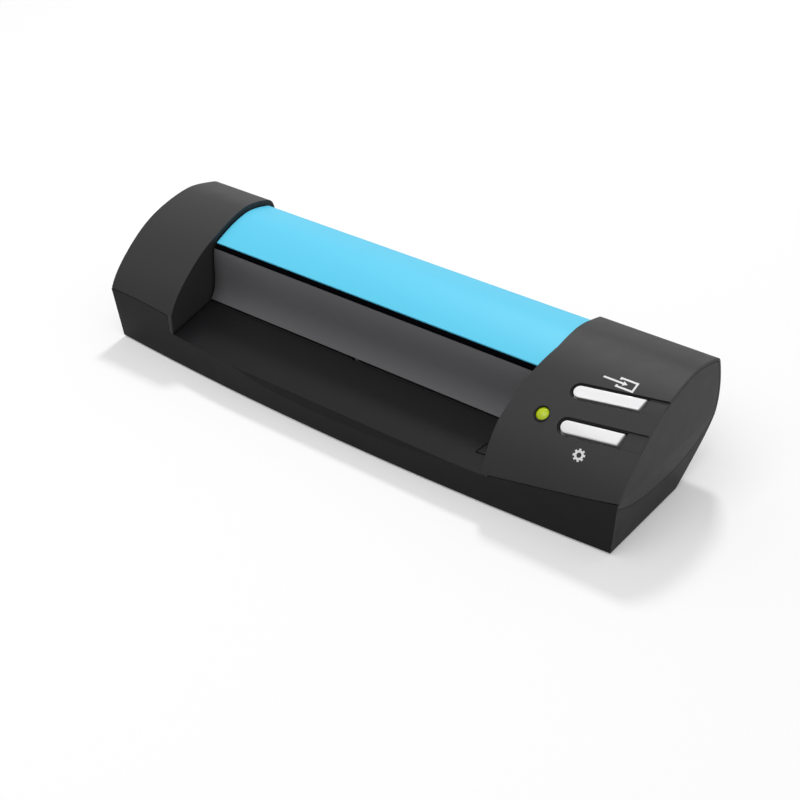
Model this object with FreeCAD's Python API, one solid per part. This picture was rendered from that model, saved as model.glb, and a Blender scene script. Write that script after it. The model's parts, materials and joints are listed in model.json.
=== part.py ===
"""Business card scanner: a sheet-fed desk scanner with a lift-up cover between two end housings.

All lengths are millimetres. The pieces are drawn with X along the length (the keys are at +X),
Y from the front edge to the rear, and Z up from the underside of the case. When a piece is
written, it is moved so that the origin is under the middle of the whole scanner, on the table.
"""
import FreeCAD, Part
import math
import os

V = FreeCAD.Vector

# Outer body
LENGTH = 172.0
HALF = LENGTH / 2.0
END_DRAW = 1.3
NOSE_Z = 16.0
FRONT_BOW = 3.3
FACE_LEAN = 1.5
LEFT_NOSE_Y = -1.8
TOP_CURVE = [(-4.6, 2.4), (-1.5, 15.9), (7.2, 26.2), (17.0, 32.5), (31.0, 36.0), (43.6, 34.3)]
TOP_START_DIR = (0.22, 1.0)
TOP_END_DIR = (1.0, -0.25)
REAR_CURVE = [(46.5, 32.0), (48.6, 24.0), (47.9, 15.8), (40.6, 6.6), (33.0, 0.0)]
REAR_START_DIR = (0.36, -1.0)
REAR_END_DIR = (-0.77, -0.64)
WALL = 1.6
END_WALL = 2.6
FAR = HALF + 5.0
SEAM_GAP = 0.2

# Seam between the lower case and the two end housings
RIGHT_SEAM = [(HALF - 39.0, 9.0), (HALF - 20.0, 12.3), (HALF + 0.5, 16.1)]
LEFT_SEAM = [(-HALF - 0.5, 16.1), (-HALF + 14.0, 15.5), (-HALF + 28.0, 14.6)]

# Lens-shaped end panels
LENS_SEAM = [(-3.0, 15.6), (8.5, 10.7), (22.7, 8.9), (36.6, 10.2), (50.0, 18.6)]
PANEL_INSET = 0.95
PANEL_T = 1.1
PANEL_GAP = 0.15

# Feed channel between the end housings
LEFT_BLOCK = 25.2
RIGHT_BLOCK = 37.0
LEFT_SPLAY = 3.0
RIGHT_SPLAY = 3.3
LEFT_WALL_X = -HALF + LEFT_BLOCK
RIGHT_FRONT_X = HALF - RIGHT_BLOCK
RIGHT_REAR_X = RIGHT_FRONT_X + RIGHT_SPLAY
CHANNEL_LEN = RIGHT_FRONT_X - LEFT_WALL_X
CHANNEL_MID_X = (LEFT_WALL_X + RIGHT_FRONT_X) / 2.0
RIGHT_SPLAY_Y = (3.0, 24.0)
LEFT_SPLAY_Y = (19.0, 40.0)
SPLAY_Z = 24.0
LID_SIDE_GAP = 0.35

# Paper path
DECK_Z = 13.4
LIP_Z = 9.0
LEDGE_REAR_Y = 14.0
REAR_RIM_Z = 12.6
REAR_RIM_Y = 44.4
LEDGE_T = 1.5
FRONT_RIB_X = [LEFT_WALL_X + 20.8, CHANNEL_MID_X - 18.1, CHANNEL_MID_X + 17.9, RIGHT_FRONT_X - 22.0]
FRONT_RIB_T = 1.2
FRONT_RIB_H = 6.5
PATH_GAP = 0.9
ROLLER_PROUD = 0.3
NIP_GAP = 0.3

# Cover
PANEL_RECESS = 1.7
COVER_PANEL_T = 1.4
COVER_PANEL_FRONT_Y = 18.3
COVER_PANEL_REAR_Z = 28.5
COVER_STEP = 0.2
PANEL_FRONT_GAP = 0.3
RIDGE_DROP = 0.35
SKIRT = [(17.3, 30.5), (16.5, 22.5), (15.6, 16.6), (13.9, 14.0)]
LID_WALL = 1.5
LID_REAR_GAP_Z = 15.2
LID_GUIDE_T = 1.2
HINGE_Y = 44.5
HINGE_Z = 20.0
HINGE_R = 1.4
HINGE_CLEAR = 0.06
HINGE_ENGAGE = 1.3
COVER_OPEN_DEG = 65.0
HINGE_BOSS_LEN = 5.0
LID_LOW_Z = DECK_Z + PATH_GAP

# Rollers
DRIVE_R = 3.0
SHAFT_R = 1.5
PINCH_R = 2.2
PINCH_SHAFT_R = 1.0
FRONT_ROLLER_Y = 19.6
REAR_ROLLER_Y = 36.9
SLEEVE_LEN = 16.0
SLEEVE_END_ROOM = 7.9
SLEEVES = 4
SLEEVE_PITCH = (CHANNEL_LEN - SLEEVE_LEN - 2 * SLEEVE_END_ROOM) / (SLEEVES - 1)
BUSH_R = 2.2
BUSH_FLANGE_R = 2.6
BUSH_FLANGE_T = 0.8
CHEEK_T = 2.0
PINCH_LEN = 13.0
PINCH_POST_T = 3.0
RUN_CLEAR = 0.05
DRIVE_Z = DECK_Z + ROLLER_PROUD - DRIVE_R
PINCH_Z = DECK_Z + ROLLER_PROUD + NIP_GAP + PINCH_R

# Image sensor
SENSOR_ROLLER_GAP = 1.15
SENSOR_END_ROOM = 2.9
SENSOR_W = REAR_ROLLER_Y - FRONT_ROLLER_Y - 2 * (DRIVE_R + SENSOR_ROLLER_GAP)
SENSOR_H = 8.6
SENSOR_LEN = CHANNEL_LEN - 2 * SENSOR_END_ROOM
GLASS_T = 1.0
GLASS_EDGE = 0.4
PAD_LEN = 8.0
CABLE_Z = 4.6
STRIP_T = 0.5
SENSOR_Y = (FRONT_ROLLER_Y + REAR_ROLLER_Y) / 2.0
SPRING_Z = PINCH_Z + PINCH_SHAFT_R + 0.1
SPRING_PEG_Y = (3.2, 4.8)
SPRING_LEAF_Y = (-1.2, 5.6)

# Paper flag
FLAG_Y = 13.2
FLAG_Z = 8.5
FLAG_PIN_R = 0.8
FLAG_TIP_Z = 14.1
FLAG_TURN = 18.0
FLAG_REACH = 3.2

# Gear train
MODULE = 0.4
GEAR_W = 2.8
ROLLER_TEETH = 16
IDLER_TEETH = math.ceil((REAR_ROLLER_Y - FRONT_ROLLER_Y) / MODULE) - ROLLER_TEETH
SMALL_TEETH = 12
BIG_TEETH = 30
PINION_TEETH = 10
GEAR_PLANE_X = LEFT_WALL_X - 6.2
BACKLASH = 0.06
PRESSURE_ANGLE = 20.0
BIG_PLANE_X = GEAR_PLANE_X - GEAR_W - 0.5
PLATE_T = 1.0
PLATE_X = BIG_PLANE_X - 0.5 - PLATE_T
POST_R = 1.0
COMPOUND_DIR = (-0.6, 0.8)
PINION_DIR = (0.9, 0.436)

# Motor
MOTOR_R = 7.5
MOTOR_CAP = 1.0
MOTOR_END_ROOM = 0.6
MOTOR_LEN = PLATE_X + HALF - END_WALL - MOTOR_CAP - MOTOR_END_ROOM
MOTOR_SHAFT_R = 0.75
EAR_Z = 9.3
PINION_HOLE_R = 2.8

# Keys on the right housing
KEY_ANGLE = 36.5
KEY_ORIGIN = (HALF - 14.0, 11.5, 29.1)
KEY_TRAVEL = 0.6
KEY_PROUD = 0.15
KEY_W = 3.3
KEY_GAP = 0.5
GROOVE_W = 4.9
GROOVE_DEPTH = 0.5
SCAN_KEY = {"u": (-8.9, 9.2), "v": 4.75, "tilt": 9.5}
CUSTOM_KEY = {"u": (-7.4, 8.8), "v": -5.05, "tilt": 8.0}
LAMP_U = -13.1
LAMP_V = -5.1
LAMP_R = 1.7
LAMP_GAP = 0.3
SWITCH_BOARD_DEPTH = 7.0
SWITCH_H = 2.4
SWITCH_GAP = KEY_TRAVEL + 0.05
SWITCH_BOARD_U = (-16.0, 10.5)
LAMP_TOP = 0.35

# Boards, socket, fasteners and feet
BOARD_T = 1.2
BOARD_Z = 13.0
BOARD_X = (RIGHT_REAR_X + 3.2, HALF - 3.0)
BOARD_Y = (7.5, 43.6)
BOARD_ROOM = 0.4
SOCKET_X = HALF - 16.0
SOCKET_W = 7.7
SOCKET_H = 3.9
SOCKET_LEN = 8.5
SOCKET_MOUTH_Y = 47.6
FOOT_R = 4.5
FOOT_T = 1.4
FOOT_PROUD = 0.6
FOOT_XY = [(x, y) for x in (-HALF + 16.0, HALF - 16.0) for y in (6.5, 27.0)]
SCREW_R = 1.1
SCREW_HEAD_R = 2.1
SCREW_HEAD_T = 1.4
SMALL_SCREW_R = 0.8
SMALL_HEAD_R = 1.6
SMALL_HEAD_T = 1.0
CASE_SCREW_LEN = 9.0
SMALL_SCREW_LEN = 5.0
BOSS_R = 2.6
CASE_SCREW_XY = [(-HALF + 7.0, 14.0), (-HALF + 7.0, 6.5), (HALF - 22.5, 31.0), (HALF - 6.0, 29.0)]
POST_TOP = 8.0
BED_SCREW_XY = [(LEFT_WALL_X + 8.8, 11.0), (RIGHT_FRONT_X - 9.0, 11.0)]
BED_TAB_Z = 7.0
BED_TAB_T = 1.5
BED_TAB_REACH = 2.5
PLATE_SCREW_XY = [(PLATE_X - 3.7, 21.0), (PLATE_X - 3.7, 32.0)]
PLATE_FOOT_Z = 4.0
BOARD_SCREW_XY = [(BOARD_X[0] + 2.5, 12.0), (BOARD_X[1] - 3.0, 12.0), (BOARD_X[1] - 3.0, 38.0)]


def yz(point):
    """Lift a (y, z) pair onto the plane x = 0."""
    return V(0, point[0], point[1])


def smooth(points, start=None, end=None):
    """A smooth curve through (y, z) points, with end directions where given."""
    curve = Part.BSplineCurve()
    lifted = [yz(p) for p in points]
    if start and end:
        curve.interpolate(Points=lifted, InitialTangent=unit(start), FinalTangent=unit(end))
    else:
        curve.interpolate(lifted)
    return curve


def unit(pair):
    """The (y, z) direction as a vector of length one."""
    return yz(pair).normalize()


def inset_curve(points, start, end, depth):
    """The smooth curve moved towards its right-hand side by a depth."""
    curve = smooth(points, start, end)
    if not depth:
        return curve
    moved = []
    for point in points:
        tangent = curve.tangent(curve.parameter(yz(point)))[0]
        moved.append((point[0] + tangent.z * depth, point[1] - tangent.y * depth))
    return smooth(moved, start, end)


def line(a, b):
    """A straight edge between two vectors."""
    return Part.LineSegment(a, b).toShape()


def box(x0, x1, y0, y1, z0, z1):
    """A block between two corners."""
    return Part.makeBox(x1 - x0, y1 - y0, z1 - z0, V(x0, y0, z0))


def rod_x(x0, x1, y, z, r):
    """A round bar along X."""
    return Part.makeCylinder(r, x1 - x0, V(x0, y, z), V(1, 0, 0))


def rod_z(x, y, z0, z1, r):
    """A round bar along Z."""
    return Part.makeCylinder(r, z1 - z0, V(x, y, z0), V(0, 0, 1))


def sweep_x(edges, x0, x1):
    """A closed outline in the plane x = 0, extruded from x0 to x1."""
    face = Part.Face(Part.Wire(edges))
    face.translate(V(x0, 0, 0))
    return face.extrude(V(x1 - x0, 0, 0))


def polygon_x(points, x0, x1):
    """A polygon of (y, z) points, extruded from x0 to x1."""
    wire = Part.makePolygon([V(x0, y, z) for y, z in points + points[:1]])
    return Part.Face(wire).extrude(V(x1 - x0, 0, 0))


def polygon_z(points, z0, z1):
    """A polygon of (x, y) points, extruded from z0 to z1."""
    wire = Part.makePolygon([V(x, y, z0) for x, y in points + points[:1]])
    return Part.Face(wire).extrude(V(0, 0, z1 - z0))


def fuse(shapes):
    """One shape out of many, with its seams cleaned."""
    shapes = list(shapes)
    if len(shapes) == 1:
        return shapes[0]
    return shapes[0].fuse(shapes[1:]).removeSplitter()


def side_prism(depth):
    """The side outline, set in by a depth, extruded along the whole length."""
    top = inset_curve(TOP_CURVE, TOP_START_DIR, TOP_END_DIR, depth)
    rear = inset_curve(REAR_CURVE, REAR_START_DIR, REAR_END_DIR, depth)
    nose, shoulder = top.StartPoint, top.EndPoint
    heel, toe = rear.StartPoint, rear.EndPoint
    corner = Part.BSplineCurve()
    corner.interpolate(Points=[shoulder, heel], InitialTangent=unit(TOP_END_DIR),
                       FinalTangent=unit(REAR_START_DIR))
    low = V(0, toe.y, -3)
    front_low = V(0, -10, -3)
    front_high = V(0, -10, nose.z)
    edges = [top.toShape(), corner.toShape(), rear.toShape(), line(toe, low), line(low, front_low),
             line(front_low, front_high), line(front_high, nose)]
    solid = sweep_x(edges, -FAR, FAR)
    return solid.common(box(-FAR, FAR, -20, 60, depth, 50))


def deep_prism(depth):
    """The side outline set in by more than its rounded corner allows, with a sharp corner."""
    top = inset_curve(TOP_CURVE, TOP_START_DIR, TOP_END_DIR, depth)
    rear = inset_curve(REAR_CURVE, REAR_START_DIR, REAR_END_DIR, depth)
    nose, shoulder = top.StartPoint, top.EndPoint
    heel, toe = rear.StartPoint, rear.EndPoint
    past = shoulder + unit(TOP_END_DIR) * 15.0
    under = sweep_x([top.toShape(), line(shoulder, past), line(past, V(0, past.y, -3)),
                     line(V(0, past.y, -3), V(0, nose.y, -3)), line(V(0, nose.y, -3), nose)],
                    -HALF, HALF)
    above = heel - unit(REAR_START_DIR) * 15.0
    corner_low = V(0, -10, toe.z)
    corner_high = V(0, -10, above.z)
    before = sweep_x([rear.toShape(), line(toe, corner_low), line(corner_low, corner_high),
                      line(corner_high, above), line(above, heel)], -HALF, HALF)
    return under.common(before)


def plan_wire(z, front_points):
    """The outline in plan at one height: a bowed front, two straight ends and a far rear."""
    curve = Part.BSplineCurve()
    curve.interpolate([V(x, y, z) for x, y in front_points])
    a, b = curve.StartPoint, curve.EndPoint
    far_b, far_a = V(b.x, 60, z), V(a.x, 60, z)
    return Part.Wire([curve.toShape(), line(b, far_b), line(far_b, far_a), line(far_a, a)])


def bow(x, half):
    """How far the front edge stands forward at a place along the length."""
    return -FRONT_BOW * (1.0 - (x / half) ** 2)


def plan_prism(front, ends):
    """The bowed, leaning plan of the body, set in by a front depth and an end depth."""
    base_half = HALF - END_DRAW
    stations = [-1.0, -0.71, -0.36, 0.0, 0.36, 0.71, 1.0]
    low = [(s * (base_half - ends), bow(s * base_half, base_half) + front) for s in stations]
    high = [(s * (HALF - ends), bow(s * HALF, HALF) - FACE_LEAN + front) for s in stations]
    high[1] = (high[1][0], LEFT_NOSE_Y + front)
    lower = Part.makeLoft([plan_wire(0, low), plan_wire(NOSE_Z, high)], True, True)
    upper = Part.Face(plan_wire(NOSE_Z, high)).extrude(V(0, 0, 30))
    return lower.fuse(upper)


def body(depth, ends):
    """The whole outer form, set in by a wall and by an end wall."""
    return side_prism(depth).common(plan_prism(depth, ends))


def channel(grow):
    """The space between the end housings, widened on both sides by an amount."""
    left = LEFT_WALL_X - grow
    splayed = left - LEFT_SPLAY
    front_right = RIGHT_FRONT_X + grow
    rear_right = RIGHT_REAR_X + grow
    straight = polygon_z([(left, -20), (front_right, -20), (front_right, RIGHT_SPLAY_Y[0]),
                          (rear_right, RIGHT_SPLAY_Y[1]), (rear_right, 70), (left, 70)], -5, 60)
    wide = polygon_z([(left, LEFT_SPLAY_Y[0]), (0, LEFT_SPLAY_Y[0]), (0, 70), (splayed, 70),
                      (splayed, LEFT_SPLAY_Y[1])], SPLAY_Z - grow, 60)
    return straight.fuse(wide)


def above_seam(side, gap=0.0):
    """Everything above the seam of one end housing."""
    points = RIGHT_SEAM if side > 0 else LEFT_SEAM
    curve = Part.BSplineCurve()
    curve.interpolate([V(x, -20, z + gap) for x, z in points])
    a, b = curve.StartPoint, curve.EndPoint
    up_b, up_a = V(b.x, -20, 60), V(a.x, -20, 60)
    wire = Part.Wire([curve.toShape(), line(b, up_b), line(up_b, up_a), line(up_a, a)])
    return Part.Face(wire).extrude(V(0, 90, 0))


def above_deck(gap=0.0):
    """Everything above the ledge, the paper bed and the rear rim."""
    rise = (DECK_Z - LIP_Z) / (LEDGE_REAR_Y - bow(0, HALF))
    front_z = DECK_Z - rise * (LEDGE_REAR_Y + 10.0)
    return polygon_x([(-10, front_z + gap), (LEDGE_REAR_Y, DECK_Z + gap), (REAR_RIM_Y, DECK_Z + gap),
                      (REAR_RIM_Y, REAR_RIM_Z + gap), (60, REAR_RIM_Z + gap), (60, 60), (-10, 60)],
                     -HALF - 5, HALF + 5)


def block_column(side, grow=0.0):
    """The stretch of the length that belongs to one end housing."""
    column = box(0, HALF + 5, -20, 70, -5, 60) if side > 0 else box(-HALF - 5, 0, -20, 70, -5, 60)
    return column.cut(channel(grow))


def lens(depth):
    """The lens outline of an end panel, extruded along the whole length."""
    curve = smooth([(y, z + depth - PANEL_INSET) for y, z in LENS_SEAM])
    a, b = curve.StartPoint, curve.EndPoint
    up_b, up_a = V(0, b.y, 60), V(0, a.y, 60)
    above = sweep_x([curve.toShape(), line(b, up_b), line(up_b, up_a), line(up_a, a)],
                    -HALF - 5, HALF + 5)
    return side_prism(depth).common(above)


def end_slab(side, thickness):
    """A slab at one end of the body."""
    if side > 0:
        return box(HALF - thickness, HALF + 1, -10, 60, 0, 50)
    return box(-HALF - 1, -HALF + thickness, -10, 60, 0, 50)


OUTER = body(0, 0)
INNER = body(WALL, END_WALL)
OUTER_BOX = OUTER.optimalBoundingBox(False, False)
MID_Y = (OUTER_BOX.YMin + OUTER_BOX.YMax) / 2.0


def key_place():
    """The frame of the keys: X along the length, Y up the slope, Z out of the surface."""
    place = FreeCAD.Placement(V(*KEY_ORIGIN), FreeCAD.Rotation(V(1, 0, 0), KEY_ANGLE))
    return place


def tilted(shape, key):
    """A shape drawn about a key's own middle, turned and set where the key lies."""
    u0, u1 = key["u"]
    middle = V((u0 + u1) / 2.0, key["v"], 0)
    place = key_place().multiply(FreeCAD.Placement(middle, FreeCAD.Rotation(V(0, 0, 1), key["tilt"])))
    moved = shape.copy()
    moved.Placement = place.multiply(moved.Placement)
    return moved


def slot(x0, x1, width, z0, z1, slant=0.0):
    """A bar with a round left end and a straight or slanted right end."""
    r = width / 2.0
    arc = Part.Arc(V(x0 + r, r, z0), V(x0, 0, z0), V(x0 + r, -r, z0)).toShape()
    low = V(x1 - slant, -r, z0)
    high = V(x1, r, z0)
    wire = Part.Wire([arc, line(V(x0 + r, -r, z0), low), line(low, high), line(high, V(x0 + r, r, z0))])
    return Part.Face(wire).extrude(V(0, 0, z1 - z0))


def key_length(key):
    """Half the length of a key."""
    return (key["u"][1] - key["u"][0]) / 2.0


def key_groove(key):
    """The shallow groove that a key lies in, open at the right end of the scanner."""
    half = key_length(key)
    edge = (GROOVE_W - KEY_W) / 2.0
    return tilted(slot(-half - edge, 40, GROOVE_W, -6, 6), key)


def groove_floor(key):
    """The part of a groove that lies below the housing surface by its depth."""
    return key_groove(key).cut(side_prism(GROOVE_DEPTH))


def key_hole(key):
    """The opening for a key through the housing."""
    half = key_length(key)
    return tilted(slot(-half - KEY_GAP, half + KEY_GAP, KEY_W + 2 * KEY_GAP, -6, 6, 1.0), key)


def key_solid(key):
    """A key cap with a skirt, a retaining flange and a stem that reaches down to its switch."""
    half = key_length(key)
    cap = tilted(slot(-half, half, KEY_W, -3.2, 4, 1.0), key)
    cap = cap.common(side_prism(-KEY_PROUD))
    stem_low = -SWITCH_BOARD_DEPTH + SWITCH_H + SWITCH_GAP
    stem = tilted(Part.makeCylinder(1.2, -stem_low - 2.5, V(0, 0, stem_low)), key)
    flange = tilted(slot(-half - 0.9, half + 0.9, KEY_W + 1.8, -3.9, -3.1, 1.0), key)
    return fuse([cap, stem, flange])


def lamp_place(low, high, radius):
    """A round bar along the key frame's normal at the lamp."""
    bar = Part.makeCylinder(radius, high - low, V(LAMP_U, LAMP_V, low))
    bar.Placement = key_place().multiply(bar.Placement)
    return bar


def housing(side):
    """One end housing: a thin shell with its inner wall, screw bosses and cut-outs."""
    column = block_column(side)
    wall_slab = channel(WALL).cut(channel(0))
    zone = above_seam(side, SEAM_GAP).fuse(wall_slab.common(above_deck(0.1)))
    shell = OUTER.common(column).common(zone)
    hollow = INNER.common(block_column(side, WALL))
    shell = shell.cut(hollow)
    for x, y in CASE_SCREW_XY:
        if x * side > 0:
            boss = rod_z(x, y, POST_TOP, 40, BOSS_R).common(side_prism(WALL / 2.0))
            shell = shell.fuse(boss)
            shell = shell.cut(rod_z(x, y, 0, POST_TOP + 8, SCREW_R))
    shell = shell.cut(panel_pocket(side))
    hinge = rod_x(RIGHT_REAR_X - 1, RIGHT_REAR_X + HINGE_ENGAGE + 0.1, HINGE_Y, HINGE_Z,
                  HINGE_R + HINGE_CLEAR)
    if side < 0:
        hinge = rod_x(LEFT_WALL_X - HINGE_ENGAGE - 0.1, LEFT_WALL_X + 1, HINGE_Y, HINGE_Z,
                      HINGE_R + HINGE_CLEAR)
    shell = shell.cut(hinge)
    if side > 0:
        for key in (SCAN_KEY, CUSTOM_KEY):
            shell = shell.cut(groove_floor(key)).cut(key_hole(key))
        shell = shell.cut(lamp_place(-6, 6, LAMP_R + LAMP_GAP))
        shell = shell.cut(box(SOCKET_X - SOCKET_W / 2 - 0.3, SOCKET_X + SOCKET_W / 2 + 0.3, 44, 60,
                              BOARD_Z + BOARD_T - 0.3, BOARD_Z + BOARD_T + SOCKET_H + 0.3))
    return shell.removeSplitter()


def panel_pocket(side):
    """The recess that an end panel lies in."""
    return lens(PANEL_INSET - PANEL_GAP).common(end_slab(side, PANEL_T + 0.05))


def end_panel(side):
    """One lens-shaped end panel."""
    return OUTER.common(lens(PANEL_INSET)).common(end_slab(side, PANEL_T))


def lower_case():
    """The lower case: floor, front wall, end walls, the feed ledge, posts and ribs."""
    deck = above_deck()
    below = []
    for side in (-1, 1):
        zone = block_column(side).cut(above_seam(side))
        slab = channel(WALL + 0.1).cut(channel(0)).common(above_deck(0.0))
        below.append(OUTER.common(zone).cut(slab))
    below.append(OUTER.common(channel(0)).cut(deck))
    shell = below[1].fuse([below[0], below[2]])
    hollow = INNER.cut(channel(0).common(above_deck(-LEDGE_T)))
    open_bed = box(LEFT_WALL_X, RIGHT_REAR_X, LEDGE_REAR_Y + 0.2, REAR_RIM_Y - 0.2, WALL, 40)
    hollow = hollow.fuse(INNER.common(open_bed))
    shell = shell.cut(hollow)
    posts = []
    holes = []
    for x, y in CASE_SCREW_XY:
        posts.append(rod_z(x, y, 0, POST_TOP, BOSS_R + 0.4))
        holes.append(rod_z(x, y, -1, POST_TOP + 1, SCREW_R + 0.15))
        holes.append(rod_z(x, y, -1, POST_TOP - 2.5, SCREW_HEAD_R + 0.2))
    small_posts = ((BED_SCREW_XY, BED_TAB_Z), (PLATE_SCREW_XY, PLATE_FOOT_Z), (BOARD_SCREW_XY, BOARD_Z))
    for places, top in small_posts:
        for x, y in places:
            posts.append(rod_z(x, y, 0, top, BOSS_R - 0.4))
            holes.append(rod_z(x, y, max(top - 6.0, WALL), top + 0.5, SMALL_SCREW_R))
    for x in FRONT_RIB_X:
        posts.append(box(x - FRONT_RIB_T / 2, x + FRONT_RIB_T / 2, -10, LEDGE_REAR_Y - 2, 0, FRONT_RIB_H))
    shell = shell.fuse([post.common(OUTER) for post in posts])
    for x, y in FOOT_XY:
        holes.append(rod_z(x, y, -1, FOOT_T - FOOT_PROUD, FOOT_R + 0.1))
    for hole in holes:
        shell = shell.cut(hole)
    for side in (-1, 1):
        shell = shell.cut(panel_pocket(side))
    return shell.removeSplitter()


def behind_skirt(depth):
    """Everything behind the curved front of the cover, moved back by a depth."""
    curve = smooth([(y + depth, z) for y, z in SKIRT])
    a, b = curve.StartPoint, curve.EndPoint
    corners = [V(0, b.y, 0), V(0, 60, 0), V(0, 60, 60), V(0, a.y, 60)]
    edges = [curve.toShape(), line(b, corners[0]), line(corners[0], corners[1]),
             line(corners[1], corners[2]), line(corners[2], corners[3]), line(corners[3], a)]
    return sweep_x(edges, -HALF, HALF)


def swept_end(grow=0.0):
    """The splayed end of the cover that would meet the left housing's ledge as the cover opens."""
    turn = math.radians(COVER_OPEN_DEG)
    rise = SPLAY_Z + LID_SIDE_GAP - HINGE_Z + grow
    reach = 2 * rise + 12
    low = (HINGE_Y - rise / math.sin(turn), HINGE_Z)
    top = (HINGE_Y + (reach * math.cos(turn) - rise) / math.sin(turn), HINGE_Z + reach)
    outline = [low, top, (top[0] + 20, top[1]), (top[0] + 20, low[1])]
    return polygon_x(outline, -HALF, LEFT_WALL_X + LID_SIDE_GAP + grow)


def cover_shell():
    """The hinged cover: a shell with a curved front, open below, with hinge bosses."""
    top_depth = PANEL_RECESS + COVER_PANEL_T + COVER_STEP
    low_back = box(-HALF, HALF, 30, 60, 0, COVER_PANEL_REAR_Z - COVER_STEP)
    before_panel = box(-HALF, HALF, 0, COVER_PANEL_FRONT_Y - PANEL_FRONT_GAP, 20, 50)
    ridge = side_prism(PANEL_RECESS + RIDGE_DROP).common(before_panel)
    form = side_prism(top_depth).fuse([side_prism(PANEL_RECESS).common(low_back), ridge])
    form = form.common(channel(-LID_SIDE_GAP)).common(behind_skirt(0))
    form = form.common(box(-HALF, HALF, 0, 60, LID_LOW_Z, 50))
    hollow = deep_prism(top_depth + LID_WALL).common(channel(-LID_SIDE_GAP - LID_WALL))
    hollow = hollow.common(behind_skirt(LID_WALL)).cut(swept_end(LID_WALL))
    form = form.cut(swept_end())
    shell = form.cut(hollow)
    low_x = LEFT_WALL_X + LID_SIDE_GAP
    high_x = RIGHT_REAR_X - LID_SIDE_GAP
    for x0, x1 in ((low_x, low_x + HINGE_BOSS_LEN), (high_x - HINGE_BOSS_LEN, high_x)):
        boss = rod_x(x0, x1, HINGE_Y, HINGE_Z, HINGE_R + 1.6)
        shell = shell.fuse(boss.common(form))
        shell = shell.cut(rod_x(x0 - 1, x1 + 1, HINGE_Y, HINGE_Z, HINGE_R))
    shell = shell.cut(box(-HALF, HALF, REAR_ROLLER_Y + 3, 60, 0, LID_REAR_GAP_Z))
    return shell.removeSplitter()


def cover_panel():
    """The glossy panel on top of the cover, wrapped over the crown to the rear."""
    skin = side_prism(PANEL_RECESS).cut(side_prism(PANEL_RECESS + COVER_PANEL_T))
    skin = skin.common(channel(-LID_SIDE_GAP)).cut(swept_end())
    return skin.common(box(-HALF, HALF, COVER_PANEL_FRONT_Y, 60, COVER_PANEL_REAR_Z, 50))


def sleeve_centres():
    """The middles of the rubber sleeves along the paper path."""
    first = CHANNEL_MID_X - SLEEVE_PITCH * (SLEEVES - 1) / 2.0
    return [first + SLEEVE_PITCH * i for i in range(SLEEVES)]


def pinch_bearings():
    """The middles of the bearings of the pinch rollers: one beyond each end and one in the middle."""
    reach = SLEEVE_PITCH * SLEEVES / 2.0 - 3.0
    return [CHANNEL_MID_X - reach, CHANNEL_MID_X, CHANNEL_MID_X + reach]


def cover_guide():
    """The plate under the cover that keeps the paper flat and carries the pinch rollers."""
    depth = LID_WALL + 0.05
    room = channel(-LID_SIDE_GAP - depth).common(behind_skirt(depth))
    plate = room.common(box(-HALF, HALF, 0, REAR_ROLLER_Y + 4.0, LID_LOW_Z, LID_LOW_Z + LID_GUIDE_T))
    parts = [plate]
    for y in (FRONT_ROLLER_Y, REAR_ROLLER_Y):
        for x in pinch_bearings():
            half = PINCH_POST_T / 2.0
            parts.append(box(x - half, x + half, y - 1.8, y + 1.8, LID_LOW_Z, PINCH_Z + 1.8))
        for x in spring_places():
            for offset in SPRING_PEG_Y:
                parts.append(rod_z(x, y + inward(y) * offset, LID_LOW_Z, SPRING_Z, 0.7))
    for side in (-1, 1):
        y = SENSOR_Y + side * (SENSOR_W / 2.0 - 0.1)
        parts.append(box(CHANNEL_MID_X - SENSOR_LEN / 2, CHANNEL_MID_X + SENSOR_LEN / 2, y - 0.5, y + 0.5,
                         LID_LOW_Z, LID_LOW_Z + 2.5))
    guide = fuse(parts)
    for y in (FRONT_ROLLER_Y, REAR_ROLLER_Y):
        for x in sleeve_centres():
            half = PINCH_LEN / 2.0 + 0.5
            guide = guide.cut(box(x - half, x + half, y - 2.7, y + 2.7, 0, 40))
        guide = guide.cut(rod_x(-HALF, HALF, y, PINCH_Z, PINCH_SHAFT_R + RUN_CLEAR))
    half = SENSOR_LEN / 2.0
    strip = box(CHANNEL_MID_X - half, CHANNEL_MID_X + half, SENSOR_Y - 3.6, SENSOR_Y + 3.6,
                0, LID_LOW_Z + STRIP_T + 0.05)
    return guide.cut(strip).removeSplitter()


def calibration_strip():
    """The white strip that faces the image sensor."""
    half = SENSOR_LEN / 2.0 - 0.2
    return box(CHANNEL_MID_X - half, CHANNEL_MID_X + half, SENSOR_Y - 3.5, SENSOR_Y + 3.5,
               LID_LOW_Z + 0.05, LID_LOW_Z + 0.05 + STRIP_T)


def spring_places():
    """Where the leaf springs press on the pinch shafts."""
    return [CHANNEL_MID_X - SLEEVE_PITCH, CHANNEL_MID_X + SLEEVE_PITCH]


def inward(y):
    """The direction along Y from a roller towards the image sensor."""
    return 1 if y < SENSOR_Y else -1


def pinch_springs():
    """Four leaf springs on the pegs of the cover guide."""
    leaves = []
    for y in (FRONT_ROLLER_Y, REAR_ROLLER_Y):
        for x in spring_places():
            ends = sorted(y + inward(y) * offset for offset in SPRING_LEAF_Y)
            leaves.append(box(x - 1.5, x + 1.5, ends[0], ends[1], SPRING_Z, SPRING_Z + 0.2))
    return Part.makeCompound(leaves)


def hinge_pins():
    """The two steel pins of the cover."""
    left = rod_x(LEFT_WALL_X - HINGE_ENGAGE, LEFT_WALL_X + HINGE_BOSS_LEN, HINGE_Y, HINGE_Z, HINGE_R)
    right = rod_x(RIGHT_REAR_X - HINGE_BOSS_LEN, RIGHT_REAR_X + HINGE_ENGAGE, HINGE_Y, HINGE_Z, HINGE_R)
    return Part.makeCompound([left, right])


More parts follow.
